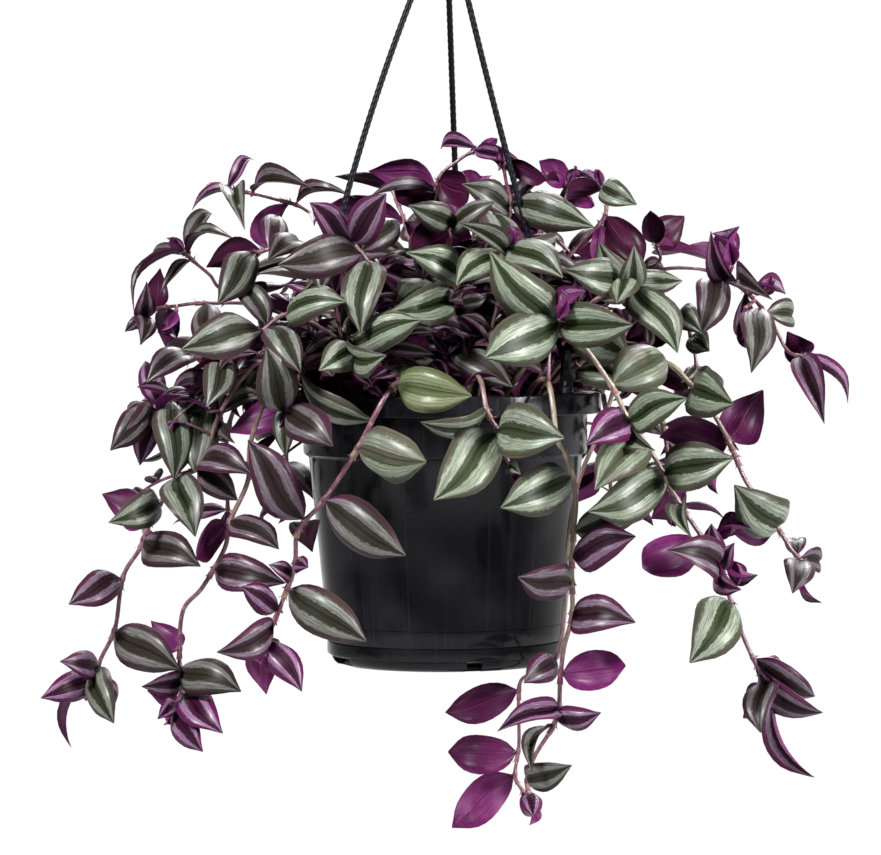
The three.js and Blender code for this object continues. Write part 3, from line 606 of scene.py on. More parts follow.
# %% Pot profile and its slots
POT_HEIGHT = 134.5
POT_SIDES = 160
POT_PROFILE = [
    [0, 0], [30, 0], [54.2, 0], [55.2, 0.3], [56.8, 1.6], [57.7, 3.2], [58, 4.6], [59.5, 5.2],
    [59.8, 5.8], [59.8, 11.1], [59.7, 11.2], [59, 11.25], [59.25, 11.6], [59.95, 19.8], [59.75, 19.95],
    [60.05, 20.1], [64, 60], [68.3, 102.8], [68.7, 103.5], [69.8, 104], [70.7, 104.6], [71, 105.5],
    [71, 118], [71, 132.4], [71.4, 132.7], [76.1, 132.7], [76.5, 132.3], [76.5, 124.8], [76.8, 124.5],
    [77.7, 124.5], [78, 124.9], [78, 133.2], [77.7, 134], [76.9, 134.5], [70.2, 134.5], [69.6, 134.1],
    [69.5, 133.4], [69.5, 105.2], [69, 104.4], [66.9, 103], [66.5, 102.2], [57.9, 11.2], [56.2, 4.6],
    [54.4, 2.2], [53.6, 2], [30, 2], [0, 2],
]
# Azimuth in degrees round from the front towards +X, and width in degrees.
DRAINS = [[-67, 22], [13.5, 7.5], [66.8, 7.5], [120, 22], [173, 7.5], [240, 7.5]]
FOOT_RADIUS = 58
DRAIN_DEPTH = 12
DRAIN_SPAN = (-1, 4.2)
CLIP_ANGLES = {"front_right": 53, "back": 173, "front_left": 293}
CLIP_RADIUS = 74
# The slot for a clip: outwards, across, bottom and top.
CLIP_SLOT = (3.2, 7.8, 131.5, 137.5)


def around(degrees, radius, z):
    """A point at an azimuth from the front, a radius and a height."""
    a = np.radians(np.asarray(degrees, float) - 90)
    return np.stack([radius * np.cos(a), radius * np.sin(a), z + 0 * a], -1)


def cutter(degrees, radius, size):
    """A box (outwards, across, bottom, top) standing on the radius and turned to face outwards."""
    out, across, low, high = size
    box = bmesh.new()
    bmesh.ops.create_cube(box, size=1)
    a = np.radians(degrees - 90)
    for corner in box.verts:
        x, y, z = corner.co
        r = radius + x * out
        flat = (r * np.cos(a) - y * across * np.sin(a), r * np.sin(a) + y * across * np.cos(a))
        corner.co = in_frame([*flat, low + (z + 0.5) * (high - low)])
    return box


# %% Cut the slots
def joined(parts, name):
    """The parts side by side in one mesh of this name."""
    whole = bmesh.new()
    for part in parts:
        mesh = bpy.data.meshes.new("part")
        part.to_mesh(mesh)
        part.free()
        whole.from_mesh(mesh)
        bpy.data.meshes.remove(mesh)
    mesh = bpy.data.meshes.new(name)
    whole.to_mesh(mesh)
    whole.free()
    return mesh


def cut(piece, boxes):
    """Takes the boxes out of the piece with a Boolean and keeps the result as the piece's own mesh."""
    tool = add_object("cutters", joined(boxes, "cutters"))
    modifier = piece.modifiers.new("slots", "BOOLEAN")
    modifier.operation = "DIFFERENCE"
    modifier.solver = "EXACT"
    modifier.object = tool
    bpy.context.view_layer.update()
    shaped = bpy.data.meshes.new_from_object(piece.evaluated_get(bpy.context.evaluated_depsgraph_get()))
    piece.modifiers.clear()
    piece.data = shaped
    bpy.data.objects.remove(tool)
    piece.data.shade_smooth()
    piece.data.set_sharp_from_angle(angle=np.radians(35))


def drain(degrees, width):
    """The cutter of a drainage slot whose width is given in degrees."""
    across = 2 * FOOT_RADIUS * np.sin(np.radians(width / 2))
    return cutter(degrees, FOOT_RADIUS + 0.5, (DRAIN_DEPTH, across, *DRAIN_SPAN))


pot = build_piece("moulded_pot", [turned(POT_PROFILE, POT_SIDES)], [pot_finish.material])
clip_slots = [cutter(degrees, CLIP_RADIUS, CLIP_SLOT) for degrees in CLIP_ANGLES.values()]
cut(pot, [drain(*one) for one in DRAINS] + clip_slots)
settle(pot, "pot")

# %% [markdown]
# ## The soil
#
# The mix fills the pot to 15 mm below the rim. Its top is a turned disc whose heights are stirred by
# a sum of waves, with crumbs of bark and perlite lying on it. A crumb is a small ball of few faces,
# squeezed and stirred in the same way.

# %% Soil body
SOIL_TOP = 119.5
STIRRED_LEVEL = SOIL_TOP - 1.2
STIR_LIMITS = (-1.6, 1.15)
radii = np.concatenate([np.linspace(1.5, 66, 40), [68.6]])
soil_profile = [[0, 5], [55.8, 5], [57.4, 11.2], [66.4, 102.7], [69.1, 105.2], [69.1, 117]]
soil_profile += [[r, STIRRED_LEVEL] for r in radii[::-1]] + [[0, STIRRED_LEVEL]]
soil_skin = turned(soil_profile, 110)
top = soil_skin["vertices"]
x, y = top[:, 0] / MM, top[:, 1] / MM
stir = np.sin(x * 0.21 + 1.3 * np.sin(y * 0.13)) * np.cos(y * 0.19 + x * 0.07) * 0.8
stir += np.sin(x * 0.83 + y * 0.31) * np.sin(y * 0.77 - x * 0.22) * 0.5
stir += np.sin(x * 1.9 + 2 * np.sin(y * 0.9)) * np.sin(y * 2.1) * 0.35
is_top = top[:, 2] > (SOIL_TOP - 2 - HOOK_SEAT) * MM
top[:, 2] += np.where(is_top, np.clip(stir, *STIR_LIMITS), 0) * MM

# %% Crumbs on the soil
CRUMBS = 420
CRUMB_SIZE = (0.5, 1.5)
CRUMBS_REACH = 67
rng = np.random.default_rng(11)


def crumb(centre, size):
    """A ball of three rings of six points, squeezed, with every point moved in or out by up to a
    quarter."""
    polar = np.array([0.25, 0.5, 0.75])[:, None] * np.pi
    angle = np.arange(6) * np.pi / 3
    ball = [np.sin(polar) * np.cos(angle), np.sin(polar) * np.sin(angle), np.cos(polar) + 0 * angle]
    ball = np.stack(ball, -1) * rng.uniform(0.75, 1.2, (3, 6, 1)) * size * rng.uniform(0.5, 1, 3)
    top, bottom = (in_frame(centre + np.array([0, 0, z])) for z in (size * 0.7, -size * 0.7))
    return closed_skin(in_frame(ball + centre), top, bottom)


crumbs = [soil_skin]
for _ in range(CRUMBS):
    place = around(rng.uniform(0, 360), CRUMBS_REACH * np.sqrt(rng.uniform()), STIRRED_LEVEL)
    crumbs.append(crumb(place, rng.uniform(*CRUMB_SIZE)))
soil = build_piece("potting_soil", crumbs, [soil_finish.material])
settle(soil, "soil")

# %% [markdown]
# ## The hanger
#
# Each strand is a plastic cord twisted from two, so its section is a little oval and turns as it
# rises. It runs from its clip to the hub, bowed where the plastic kept a memory of its packing. It is
# a stack of rings again, with a radius that depends on the angle and on the height.

# %% Strand paths
HUB_BASE = 362
STRAND_RADIUS = 1.6
STRAND_BOW = {"front_right": -2, "back": 0, "front_left": 7}
STRAND_SIDES = 16
TWIST_PITCH = 7.0
CLIP_TO_STRAND = 17


def strand_path(side):
    """A straight line from the clip's top to the hub, pushed outwards by bow * 4 s (1 - s)."""
    degrees = CLIP_ANGLES[side]
    foot = around(degrees, CLIP_RADIUS - 1.5, POT_HEIGHT + CLIP_TO_STRAND)
    head = around(degrees, 2.9, HUB_BASE + 5) + np.array([HUB_X, 0, 0])
    s = np.linspace(0, 1, 7)[:, None]
    bow = around(degrees, 1, 0) * STRAND_BOW[side] * 4 * s * (1 - s)
    return foot + (head - foot) * s + bow


def strand_skin(side):
    """Radius = R (0.84 + 0.16 |cos(angle - 2 pi length / pitch)|): two cords laid together."""
    path, length = smooth_path(strand_path(side), 0.8)
    angle, _ = ring_angles(STRAND_SIDES)
    lobes = np.abs(np.cos(angle - 2 * np.pi * length[:, None] / TWIST_PITCH))
    return rod(path, STRAND_RADIUS * (0.84 + 0.16 * lobes), STRAND_SIDES)


# %% [markdown]
# A clip is a flat tapering tab. Its outline is filled and pulled up to its thickness, both faces are
# inset and pushed in, which leaves a raised rim round a sunk panel, and a Bevel modifier takes the
# sharpness off every edge. A tongue under it goes through the pot's slot and ends in a barb, and a
# low ledge crosses the foot of the panel.

# %% Clips
CLIP_THICK = 2.4
LIP = 2.0
UNDER = -LIP - 0.35
PANEL_DEPTH = 0.55
RIM_WIDTH = 1.1
TAB = [
    [-4.5, 0.35], [4.5, 0.35], [4.4, 4], [3.5, 12], [2.2, 21],
    [1.2, 22], [-1.2, 22], [-2.2, 21], [-3.5, 12], [-4.4, 4],
]
TONGUE = [
    [-3.4, 0.6], [-3.4, UNDER], [-4.4, UNDER], [-3, UNDER - 5],
    [3, UNDER - 5], [4.4, UNDER], [3.4, UNDER], [3.4, 0.6],
]
LEDGE = [[-2.2, 3.2], [2.2, 3.2], [2, 4.4], [-2, 4.4]]


def plate(outline, thick, degrees, sunk=0.0):
    """An outline (across, up) given a thickness and stood on the pot's lip at an azimuth."""
    made = bmesh.new()
    a = np.radians(degrees - 90)
    out = Vector((np.cos(a), np.sin(a), 0))
    side = Vector((-np.sin(a), np.cos(a), 0))
    foot = Vector(in_frame([CLIP_RADIUS * np.cos(a), CLIP_RADIUS * np.sin(a), POT_HEIGHT]))
    corners = [
        made.verts.new(foot + (side * across + Vector((0, 0, up)) - out * thick / 2) * MM)
        for across, up in outline
    ]
    face = made.faces.new(corners)
    pulled = bmesh.ops.extrude_face_region(made, geom=[face])["geom"]
    moved = [g for g in pulled if isinstance(g, bmesh.types.BMVert)]
    bmesh.ops.translate(made, verts=moved, vec=out * thick * MM)
    bmesh.ops.recalc_face_normals(made, faces=made.faces)
    if sunk:
        flats = [f for f in made.faces if abs(f.normal.dot(out)) > 0.9]
        bmesh.ops.inset_individual(made, faces=flats, thickness=RIM_WIDTH * MM, depth=-sunk * MM)
    return made


def clip_piece(side):
    """The tab, the tongue and the ledge of one clip, with their edges softened."""
    degrees = CLIP_ANGLES[side]
    parts = [
        plate(TAB, CLIP_THICK, degrees, PANEL_DEPTH),
        plate(TONGUE, CLIP_THICK - 0.3, degrees),
        plate(LEDGE, CLIP_THICK - 0.4, degrees),
    ]
    mesh = joined(parts, f"clip_{side}")
    mesh.materials.append(clip_black)
    mesh.shade_smooth()
    mesh.set_sharp_from_angle(angle=np.radians(40))
    piece = add_object(f"clip_{side}", mesh)
    bevel = piece.modifiers.new("soft_edges", "BEVEL")
    bevel.width = 0.25 * MM
    bevel.segments = 2
    bevel.limit_method = "ANGLE"
    return piece


for side in CLIP_ANGLES:
    strand = build_piece(f"twisted_strand_{side}", [strand_skin(side)], [strand_black], sharp=0)
    settle(strand, f"strand_{side}")
    settle(clip_piece(side), f"strand_{side}")

# %% [markdown]
# The hook is a round rod bent through most of a circle above a small hub. Its end is domed, and the
# hub has a bead round its lower edge and narrows to the rod above.

# %% Hook and hub
HOOK_ROD = 2.1
HOOK_BEND = 12.6
HOOK_CENTRE = 399
HOOK_SWEEP = (-50, 206, 8.5)
HUB_TOP = HUB_BASE + 11
DOME = 2
bend = np.radians(np.arange(*HOOK_SWEEP))
hook_points = [[HUB_X, 0, HUB_TOP - 1], [HUB_X, 0, HUB_TOP + 3]]
hook_points += [[HUB_X + HOOK_BEND * np.cos(a), 0, HOOK_CENTRE + HOOK_BEND * np.sin(a)] for a in bend]
hook_path, hook_length = smooth_path(hook_points, 0.9)
into_dome = np.clip(DOME - (hook_length[-1] - hook_length), 0, DOME) / DOME
dome = np.sqrt(np.clip(1 - into_dome**2, 0.12, 1))
hub_profile = [
    [0, 362], [5, 362], [6, 362.4], [6.2, 363.2], [6.2, 364.6], [5.8, 365.1], [5.7, 366], [5.7, 369],
    [5.3, 370], [4, 371.4], [3, 372.4], [2.6, 373], [0, 373],
]
hook_skins = [rod(hook_path, HOOK_ROD * dome, 24), turned(hub_profile, 64, HUB_X)]
hook = build_piece("hook_and_hub", hook_skins, [clip_black], sharp=40)
settle(hook, "hook")

# %% [markdown]
# ## Where the leaves are
#
# In the solid model a leaf is a long three-sided spindle with a flat upper side and a keel 2 mm
# below it. Its tip is the one corner where only three faces meet, so a leaf can be found again from
# its tip and the ring next to it: two edge points and the keel. From those four points follow the
# leaf's length, its base on the stem, its width and which side is up.

# %% Read the leaves of a stem's solid
# The arch and the last ring are shares of the leaf's length, and the rest are millimetres.
LEAF_KEEL = 2.0
LEAF_ARCH = 0.07
LEAF_ROOT = 1.2
LAST_RING = 0.64
LARGEST_MISFIT = 0.05
SHORTEST_LEAF = 8


def outline(s):
    """Half-width from base to tip as a share of the greatest: sin(pi s^0.62)^0.8."""
    return np.sin(np.pi * s**0.62) ** 0.8


def corners_of(node):
    """The merged corners of a solid in pot millimetres, and its triangles."""
    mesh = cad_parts[node].data
    points = np.empty(len(mesh.vertices) * 3, np.float32)
    mesh.vertices.foreach_get("co", points)
    loops = np.empty(len(mesh.loops), np.int32)
    mesh.loops.foreach_get("vertex_index", loops)
    whole, index = np.unique(points.reshape(-1, 3).round(6), axis=0, return_inverse=True)
    return whole.astype(float) / MM - ORIGIN, index.ravel()[loops].reshape(-1, 3)


def leaf_from(tip, ring):
    """The leaf whose tip and last ring these are, or None if they don't fit a leaf."""
    best = None
    for k in range(3):
        keel, left, right = ring[k], ring[(k + 1) % 3], ring[(k + 2) % 3]
        middle = (left + right) / 2
        drop = np.linalg.norm(middle - keel)
        upper, across = unit(middle - keel), unit(right - left)
        forward = unit(np.cross(upper, across))
        reach = (tip - middle) @ forward
        forward, reach = (forward, reach) if reach > 0 else (-forward, -reach)
        length = reach / (1 - LAST_RING) - LEAF_ROOT
        arch = LEAF_ARCH * length * 4 * LAST_RING * (1 - LAST_RING)
        misfit = abs(drop - LEAF_KEEL) + abs((tip - middle) @ across) + abs((tip - middle) @ upper + arch)
        if best is None or misfit < best["misfit"]:
            half = np.linalg.norm(right - left) / 2 / outline(LAST_RING)
            best = {"misfit": misfit, "tip": tip, "base": tip - forward * length, "length": length}
            best |= {"half": half, "upper": upper}
    return best if best["misfit"] < LARGEST_MISFIT and best["length"] > SHORTEST_LEAF else None


def leaves_of(node):
    points, triangles = corners_of(node)
    found = []
    for tip in np.flatnonzero(np.bincount(triangles.ravel()) == 3):
        ring = np.setdiff1d(triangles[(triangles == tip).any(1)], tip)
        if len(ring) == 3:
            found.append(leaf_from(points[tip], points[ring]))
    return [one for one in found if one]


leaves = {name: leaves_of(name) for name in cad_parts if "strand" not in name}
leaves = {name: found for name, found in leaves.items() if found}
print(sum(map(len, leaves.values())), "leaves on", len(leaves), "stems")

# %% [markdown]
# ## Where the stems run
#
# The stems are repeated from the construction as listed routes: a hole in the soil, then points
# (across, up, depth) in the front view. Each point is carried along the line of sight to its depth.
# At the back the stems follow the plant's habit: they rise, reach out over the rim and hang down.

# %% Routes of the stems at the front
TRAIL = 1.8
CROWN = 1.5
HOLE_DEPTH = 13.5
ROUTES = {
    "trail_left_far": [(-46, -16), TRAIL, [
        (-66, 158, -34), (-92, 152, -42), (-112, 126, -42), (-122, 100, -40), (-135, 92, -38),
        (-148, 71, -36), (-153, 58, -36), (-162, 43, -36), (-166, 18, -36), (-173, 3, -36),
        (-178, -9, -36),
    ]],
    "trail_left_near": [(-36, -36), TRAIL, [
        (-56, 154, -56), (-84, 140, -64), (-97, 112, -64), (-99, 91, -62), (-108, 71, -60),
        (-111, 57, -58), (-122, 38, -56), (-132, 26, -54), (-134, 3, -54), (-133, -14, -54),
        (-136, -22, -54),
    ]],
    "trail_front_left": [(-14, -52), TRAIL, [
        (-18, 142, -68), (-24, 139, -84), (-31, 131, -92), (-45, 105, -92), (-61, 81, -86), (-74, 66, -80),
        (-76, 48, -78), (-84, 26, -76), (-91, 11, -76),
    ]],
    "spill_left_front": [(-40, -26), CROWN, [(-56, 150, -46), (-70, 147, -62), (-80, 125, -70)]],
    "spill_left": [(-54, 4), CROWN, [
        (-70, 156, -6), (-97, 137, -16), (-120, 131, -22), (-137, 132, -24), (-147, 127, -24),
    ]],
    "crown_left_low": [(-54, -8), CROWN, [
        (-72, 154, -20), (-94, 157, -32), (-108, 152, -36), (-125, 153, -38),
    ]],
    "crown_left": [(-44, 14), CROWN, [
        (-62, 160, 6), (-90, 178, 0), (-120, 180, -6), (-133, 179, -8), (-145, 177, -10), (-150, 173, -10),
    ]],
    "crown_left_front": [(-26, -44), CROWN, [
        (-42, 152, -54), (-66, 170, -62), (-80, 174, -66), (-91, 166, -68),
    ]],
    "crown_left_high": [(-34, 20), CROWN, [
        (-58, 166, 22), (-92, 184, 16), (-111, 187, 8), (-117, 194, 4), (-124, 200, 2), (-130, 206, 0),
    ]],
    "crown_top_left": [(-26, 8), CROWN, [
        (-38, 170, 6), (-58, 214, 2), (-70, 227, 0), (-85, 232, -2), (-97, 235, -4), (-108, 237, -4),
    ]],
    "crown_left_middle": [(-22, -14), CROWN, [
        (-34, 165, -20), (-52, 196, -32), (-72, 210, -38), (-94, 205, -40),
    ]],
    "crown_front_left": [(-10, -38), CROWN, [
        (-14, 150, -46), (-22, 181, -56), (-36, 198, -64), (-46, 210, -68),
    ]],
    "crown_front_low": [(-22, -32), CROWN, [(-32, 146, -50), (-47, 158, -66)]],
    "crown_middle": [(4, -30), CROWN, [
        (2, 157, -48), (5, 178, -56), (9, 194, -60), (20, 203, -62), (28, 205, -62),
    ]],
    "crown_front": [(14, -36), CROWN, [(20, 150, -50), (28, 185, -60), (33, 207, -68)]],
    "trail_right_front": [(24, -46), TRAIL, [
        (40, 148, -66), (58, 170, -86), (67, 161, -90), (83, 138, -88), (93, 118, -84), (105, 101, -80),
        (116, 80, -76), (136, 49, -72), (142, 31, -70), (151, 6, -68), (164, -18, -66),
    ]],
    "trail_right": [(50, -22), TRAIL, [
        (72, 152, -36), (108, 150, -44), (123, 138, -44), (131, 128, -44), (139, 115, -46),
        (145, 102, -48), (150, 90, -48), (158, 78, -48), (166, 66, -48), (173, 55, -48), (178, 49, -48),
    ]],
    "crown_right": [(44, 10), CROWN, [
        (68, 165, 6), (100, 192, 0), (125, 196, -4), (144, 189, -6), (155, 180, -8), (164, 168, -10),
        (171, 155, -12), (179, 151, -12),
    ]],
    "crown_right_high": [(30, 16), CROWN, [(55, 168, 14), (90, 192, 8), (107, 199, 4), (106, 208, 4)]],
    "crown_top_right": [(20, 2), CROWN, [
        (40, 172, -4), (64, 205, -10), (79, 220, -12), (81, 230, -12), (79, 237, -12),
    ]],
    "crown_top_back": [(10, 14), CROWN, [(28, 172, 12), (48, 214, 6), (62, 238, 0)]],
    "crown_top_middle": [(8, -4), CROWN, [
        (18, 166, -10), (28, 205, -16), (33, 228, -18), (31, 240, -18), (30, 247, -18),
    ]],
    "crown_top": [(-6, 6), CROWN, [
        (-5, 170, 4), (-6, 214, 2), (-3, 240, 0), (8, 251, -2), (17, 256, -2),
    ]],
    "crown_centre": [(-6, -14), CROWN, [(0, 165, -24), (2, 200, -34), (4, 218, -40)]],
    "crown_right_front": [(28, -16), CROWN, [(50, 160, -32), (78, 182, -44), (95, 187, -50)]],
    "crown_right_low": [(42, -8), CROWN, [
        (70, 156, -14), (100, 174, -20), (118, 172, -24), (124, 158, -26), (126, 146, -28),
    ]],
    "spill_front": [(8, -54), TRAIL, [
        (14, 142, -70), (18, 140, -84), (21, 125, -93), (26, 116, -94), (28, 108, -93), (33, 97, -92),
    ]],
    "trail_front_right": [(36, -38), TRAIL, [
        (45, 139, -56), (52, 138, -71), (56, 111, -83), (60, 104, -83), (65, 83, -79), (64, 64, -76),
        (63, 45, -74), (63, 23, -72), (59, 7, -70), (57, -8, -68), (55, -29, -66), (44, -48, -64),
        (40, -60, -64), (42, -72, -64),
    ]],
    "trail_front_right_back": [(40, -28), CROWN, [
        (62, 152, -32), (84, 146, -44), (80, 122, -58), (66, 88, -62), (60, 50, -60), (59, 25, -58),
        (56, 5, -54), (50, -4, -44), (38, -9, -42), (36, -20, -42), (36, -42, -42), (34, -58, -42),
        (38, -66, -42),
    ]],
}

# %% Routes of the stems at the back
# First azimuth, step, radius of the hole, and rod radius for each habit.
BACK_STEMS = {
    "trail": (102, 26, 57, TRAIL),
    "arch": (138, 28, 40, CROWN),
    "upright": (160, 40, 24, CROWN),
}
# Radius and height of each point.
HABITS = {
    "trail": [(70, 154), (94, 152), (112, 122), (119, 84), (122, 46)],
    "arch": [(56, 164), (82, 192), (108, 196), (130, 182)],
    "upright": [(32, 172), (46, 212), (66, 238)],
}
HIDDEN_BY_POT = 30


def seeded(state):
    """Numbers from 0 to 1: state' = (1664525 state + 1013904223) mod 2^32."""
    while True:
        state = (state * 1664525 + 1013904223) % 2**32
        yield state / 2**32


def back_route(habit, i):
    """The habit's points turned to the stem's azimuth and stirred. A trail that the pot hides from
    the front grows longer, and the others end sooner."""
    start, step, soil_radius, radius = BACK_STEMS[habit]
    random = seeded(1000 + 10 * soil_radius + i)
    degrees = start + step * i
    stretch = 0.85 + 0.4 * next(random)
    sway = 14 * (next(random) - 0.5)
    route = []
    for k, (r, z) in enumerate(HABITS[habit]):
        hanging = min(0, z - POT_HEIGHT) * (stretch - 1)
        route.append(around(degrees + sway * k * 0.4, r + 6 * (next(random) - 0.5), z + hanging))
    if habit == "trail" and abs(degrees - 180) < HIDDEN_BY_POT:
        route.append(around(degrees + sway * 2, 118, route[-1][2] - 10 - 18 * next(random)))
    elif habit == "trail":
        route.pop()
    return around(degrees, soil_radius, 0)[:2], radius, route


def seen(x, z, y):
    """A place in the front view, on the plane through the pot's axis, carried to the depth y."""
    k = (y - EYE[1]) / -EYE[1]
    return np.array([EYE[0] + (x - EYE[0]) * k, y, EYE[2] + (z - EYE[2]) * k])


# %% The finished path of each stem
STEM_SHIFTS = [0, 4, -4, 8, -8, 12, -12, 16, -16]
STEM_STEP = 1.6


def path_of(hole, route):
    """From 12.5 mm down in the soil to a collar 4 mm above it, and along the route."""
    root = [*hole, SOIL_TOP - HOLE_DEPTH + 1]
    return smooth_path([root, [*hole, SOIL_TOP + 4], *route], STEM_STEP)


def nearest(path, points):
    """For each point, the number of the path point closest to it and how far that is."""
    gaps = np.linalg.norm(path[None] - np.asarray(points)[:, None], axis=2)
    return gaps.argmin(1), gaps.min(1)


def stem_of(name):
    """The path, of those shifted along the line of sight, that the leaves' bases lie closest to."""
    if name in ROUTES:
        hole, radius, marks = ROUTES[name]
        routes = [[seen(x, z, y + shift) for x, z, y in marks] for shift in STEM_SHIFTS]
    else:
        hole, radius, marks = back_route(name.split("_back")[0], int(name[-1]) - 1)
        routes = [[p + np.array([0, shift, 0]) for p in marks] for shift in STEM_SHIFTS]
    paths = [path_of(hole, route) for route in routes]
    bases = [found["base"] for found in leaves[name]]
    miss = [nearest(path, bases)[1].mean() for path, _ in paths]
    best = int(np.argmin(miss))
    return {"path": paths[best][0], "length": paths[best][1], "radius": radius, "miss": miss[best]}


stems = {name: stem_of(name) for name in leaves}
print("leaf bases lie", round(max(s["miss"] for s in stems.values()), 2), "mm from the stems at most")

# %% [markdown]
# ## One leaf
#
# A leaf is a stack of closed rings: seven points across the upper side and seven back under it. Along
# the leaf the half-width is a product of two powers, s^a (1 - s)^b, so the leaf is round near its
# base and drawn out at its tip, the more so the narrower it is. Across it each half swells a little
# between midrib and edge, and the whole is folded up or turned down by a parabola. Young narrow
# leaves are folded so far that they roll up.

# %% Leaf surface
STATIONS = np.array([0.035, 0.075, 0.13, 0.21, 0.31, 0.42, 0.53, 0.64, 0.74, 0.83, 0.905, 0.96, 0.99])
ROW = np.array([-1, -0.74, -0.4, 0, 0.4, 0.74, 1])
RING = np.concatenate([ROW, ROW[::-1]])
IS_UNDER = np.repeat([0.0, 1.0], len(ROW))
NECK = 0.05
NECK_WIDTH = 1.1


def leaf_skin(found, base, fold, sway, wave, phase, twist, arch, droop=0.0):
    """Half-width = half (s / m)^a ((1 - s) / (1 - m))^b, whose widest place is m = a / (a + b),
    and the last fifth is drawn out to a finer tip.
    Upper offset = arch 4 s (1 - s) L + w (0.24 sin(pi |v|) - fold v² + edge waves), where v runs
    from -1 to 1 across and s from 0 to 1 along. The last third droops by the square of its share.
    The under side lies up to 0.54 mm below, and nearer where the leaf is narrow."""
    reach = found["tip"] - base
    length = np.linalg.norm(reach)
    forward = reach / length
    upper = unit(found["upper"] - forward * (found["upper"] @ forward))
    side = np.cross(forward, upper)
    slim = np.clip((0.62 - 2 * found["half"] / length) / 0.25, 0, 1)
    s, v = STATIONS[:, None], RING[None]

    a, b = 0.5 + 0.1 * slim, 0.6 + 0.2 * slim
    widest = a / (a + b)
    blade = np.clip((s - NECK) / (1 - NECK), 0, 1)
    width = found["half"] * (blade / widest) ** a * ((1 - blade) / (1 - widest)) ** b
    width = width * (1 - 0.45 * np.clip((s - 0.8) / 0.19, 0, 1))
    width = np.maximum(width, np.where(s < 0.5, NECK_WIDTH, 0.02))

    swell = 0.24 * np.sin(np.pi * np.abs(v)) - fold * v**2 + wave * np.sin(7 * s + phase + 2 * v) * v**2
    thickness = IS_UNDER * (0.2 + 0.34 * (1 - v**2)) * np.clip(width / 4, 0.45, 1)
    droop = droop * (0.25 + 0.75 * slim)
    lift = arch * length * 4 * s * (1 - s) + width * swell - thickness
    lift = lift - droop * length * np.clip((s - 0.67) / 0.33, 0, 1) ** 2
    lift = lift + v * width * np.sin(twist * s)
    sideways = v * width * np.cos(twist * s) + sway * length * np.sin(2 * np.pi * s) + 0 * lift
    onward = s * length + 0 * v
    rings = base + forward * onward[..., None] + side * sideways[..., None] + upper * lift[..., None]
    tip = found["tip"] - upper * droop * length

    skin = closed_skin(in_frame(rings), in_frame(base), in_frame(tip), (RING + 1) / 2, STATIONS)
    under = np.tile(IS_UNDER, len(STATIONS) - 1)
    skin["quads"][under == 1] = np.roll(skin["quads"][under == 1], 1, axis=1)
    skin["under"] = np.concatenate([under, IS_UNDER, IS_UNDER])
    return skin


# %% [markdown]
# ## Stems, sheaths and hairs
#
# A stem is thickest at its nodes, where a leaf clasps it with a papery sheath. A few soft pale hairs
# stand round the rim of each sheath, and torn stubs of it at its foot. Both are three-sided cones,
# because there are thousands.

# %% Stem, sheath and hairs
SHEATH = 5.5
SHEATH_SIDES = 10
STEM_SIDES = 10
NODE_SWELL = 0.5
NODE_SPREAD = 1.7


def stem_radius(stem):
    """R (0.8 - 0.24 s), with s from 0 at the root to 1 at the tip."""
    share = stem["length"] / stem["length"][-1]
    return stem["radius"] * (0.8 - 0.24 * share)


def stem_skin(stem, nodes):
    """The stem's radius times 1 + swell e^-((l - node) / spread)² at the nearest node."""
    away = (stem["length"][:, None] - nodes) / NODE_SPREAD
    bumps = NODE_SWELL * np.exp(-(away**2)).max(1)
    return rod(stem["path"], stem_radius(stem) * (1 + bumps), STEM_SIDES)


def sheath_skin(stem, at):
    """A short sleeve that opens a little towards its rim."""
    on = (stem["length"] > at - 0.9) & (stem["length"] < at + SHEATH)
    if on.sum() < 3:
        return None
    opening = np.linspace(1.12, 1.42, on.sum())
    return rod(stem["path"][on], stem_radius(stem)[on] * opening, SHEATH_SIDES)


def hair_skins(root, forward, radius, count, thick=0.12, reach=(1.3, 2.4)):
    """Cones that stand round a stem at a root, leaning outwards and forwards."""
    across = unit(np.cross(forward, unit(rng.normal(size=3))))
    third = np.cross(forward, across)
    corner = np.arange(3) * 2 * np.pi / 3
    skins = []
    for angle in rng.uniform(0, 2 * np.pi, count):
        out = across * np.cos(angle) + third * np.sin(angle)
        aim = unit(out + forward * rng.uniform(0.2, 1.4))
        foot = root + out * radius * 0.9
        flat = unit(np.cross(aim, forward + 0.01))
        turned_flat = np.cross(aim, flat)
        ring = foot + thick * (flat * np.cos(corner)[:, None] + turned_flat * np.sin(corner)[:, None])
        tip = foot + aim * rng.uniform(*reach)
        skins.append(closed_skin(in_frame(ring[None]), in_frame(foot - aim * 0.3), in_frame(tip)))
    return skins


# %% [markdown]
# ## Side shoots
#
# The crown of the real plant is far denser than its long stems alone: its old nodes carry short side
# shoots with a few smaller leaves, so that hardly any light comes through. Here they grow only where
# the crown or one of its flanks is thick, behind the leaves that are already there, and each one
# starts on its own stem. At the very tip of every stem two small leaves are still rolled up.

# %% Where side shoots may grow
CROWN_CENTRE = np.array([0, 6, 128])
CROWN_SIZE = np.array([112, 98, 98])
# Boxes, each with its reach across, in depth and in height.
FLANKS = [([-158, -70], [-60, 75], [62, 165]), ([72, 128], [-50, 75], [40, 150])]
BEFORE_CLIP = ([50, 78], [-np.inf, -20], [-np.inf, POT_HEIGHT + 26])
INSIDE_RIM = 62
OUTSIDE_RIM = 82


def within(box, place):
    return all(low < value < high for (low, high), value in zip(box, place))


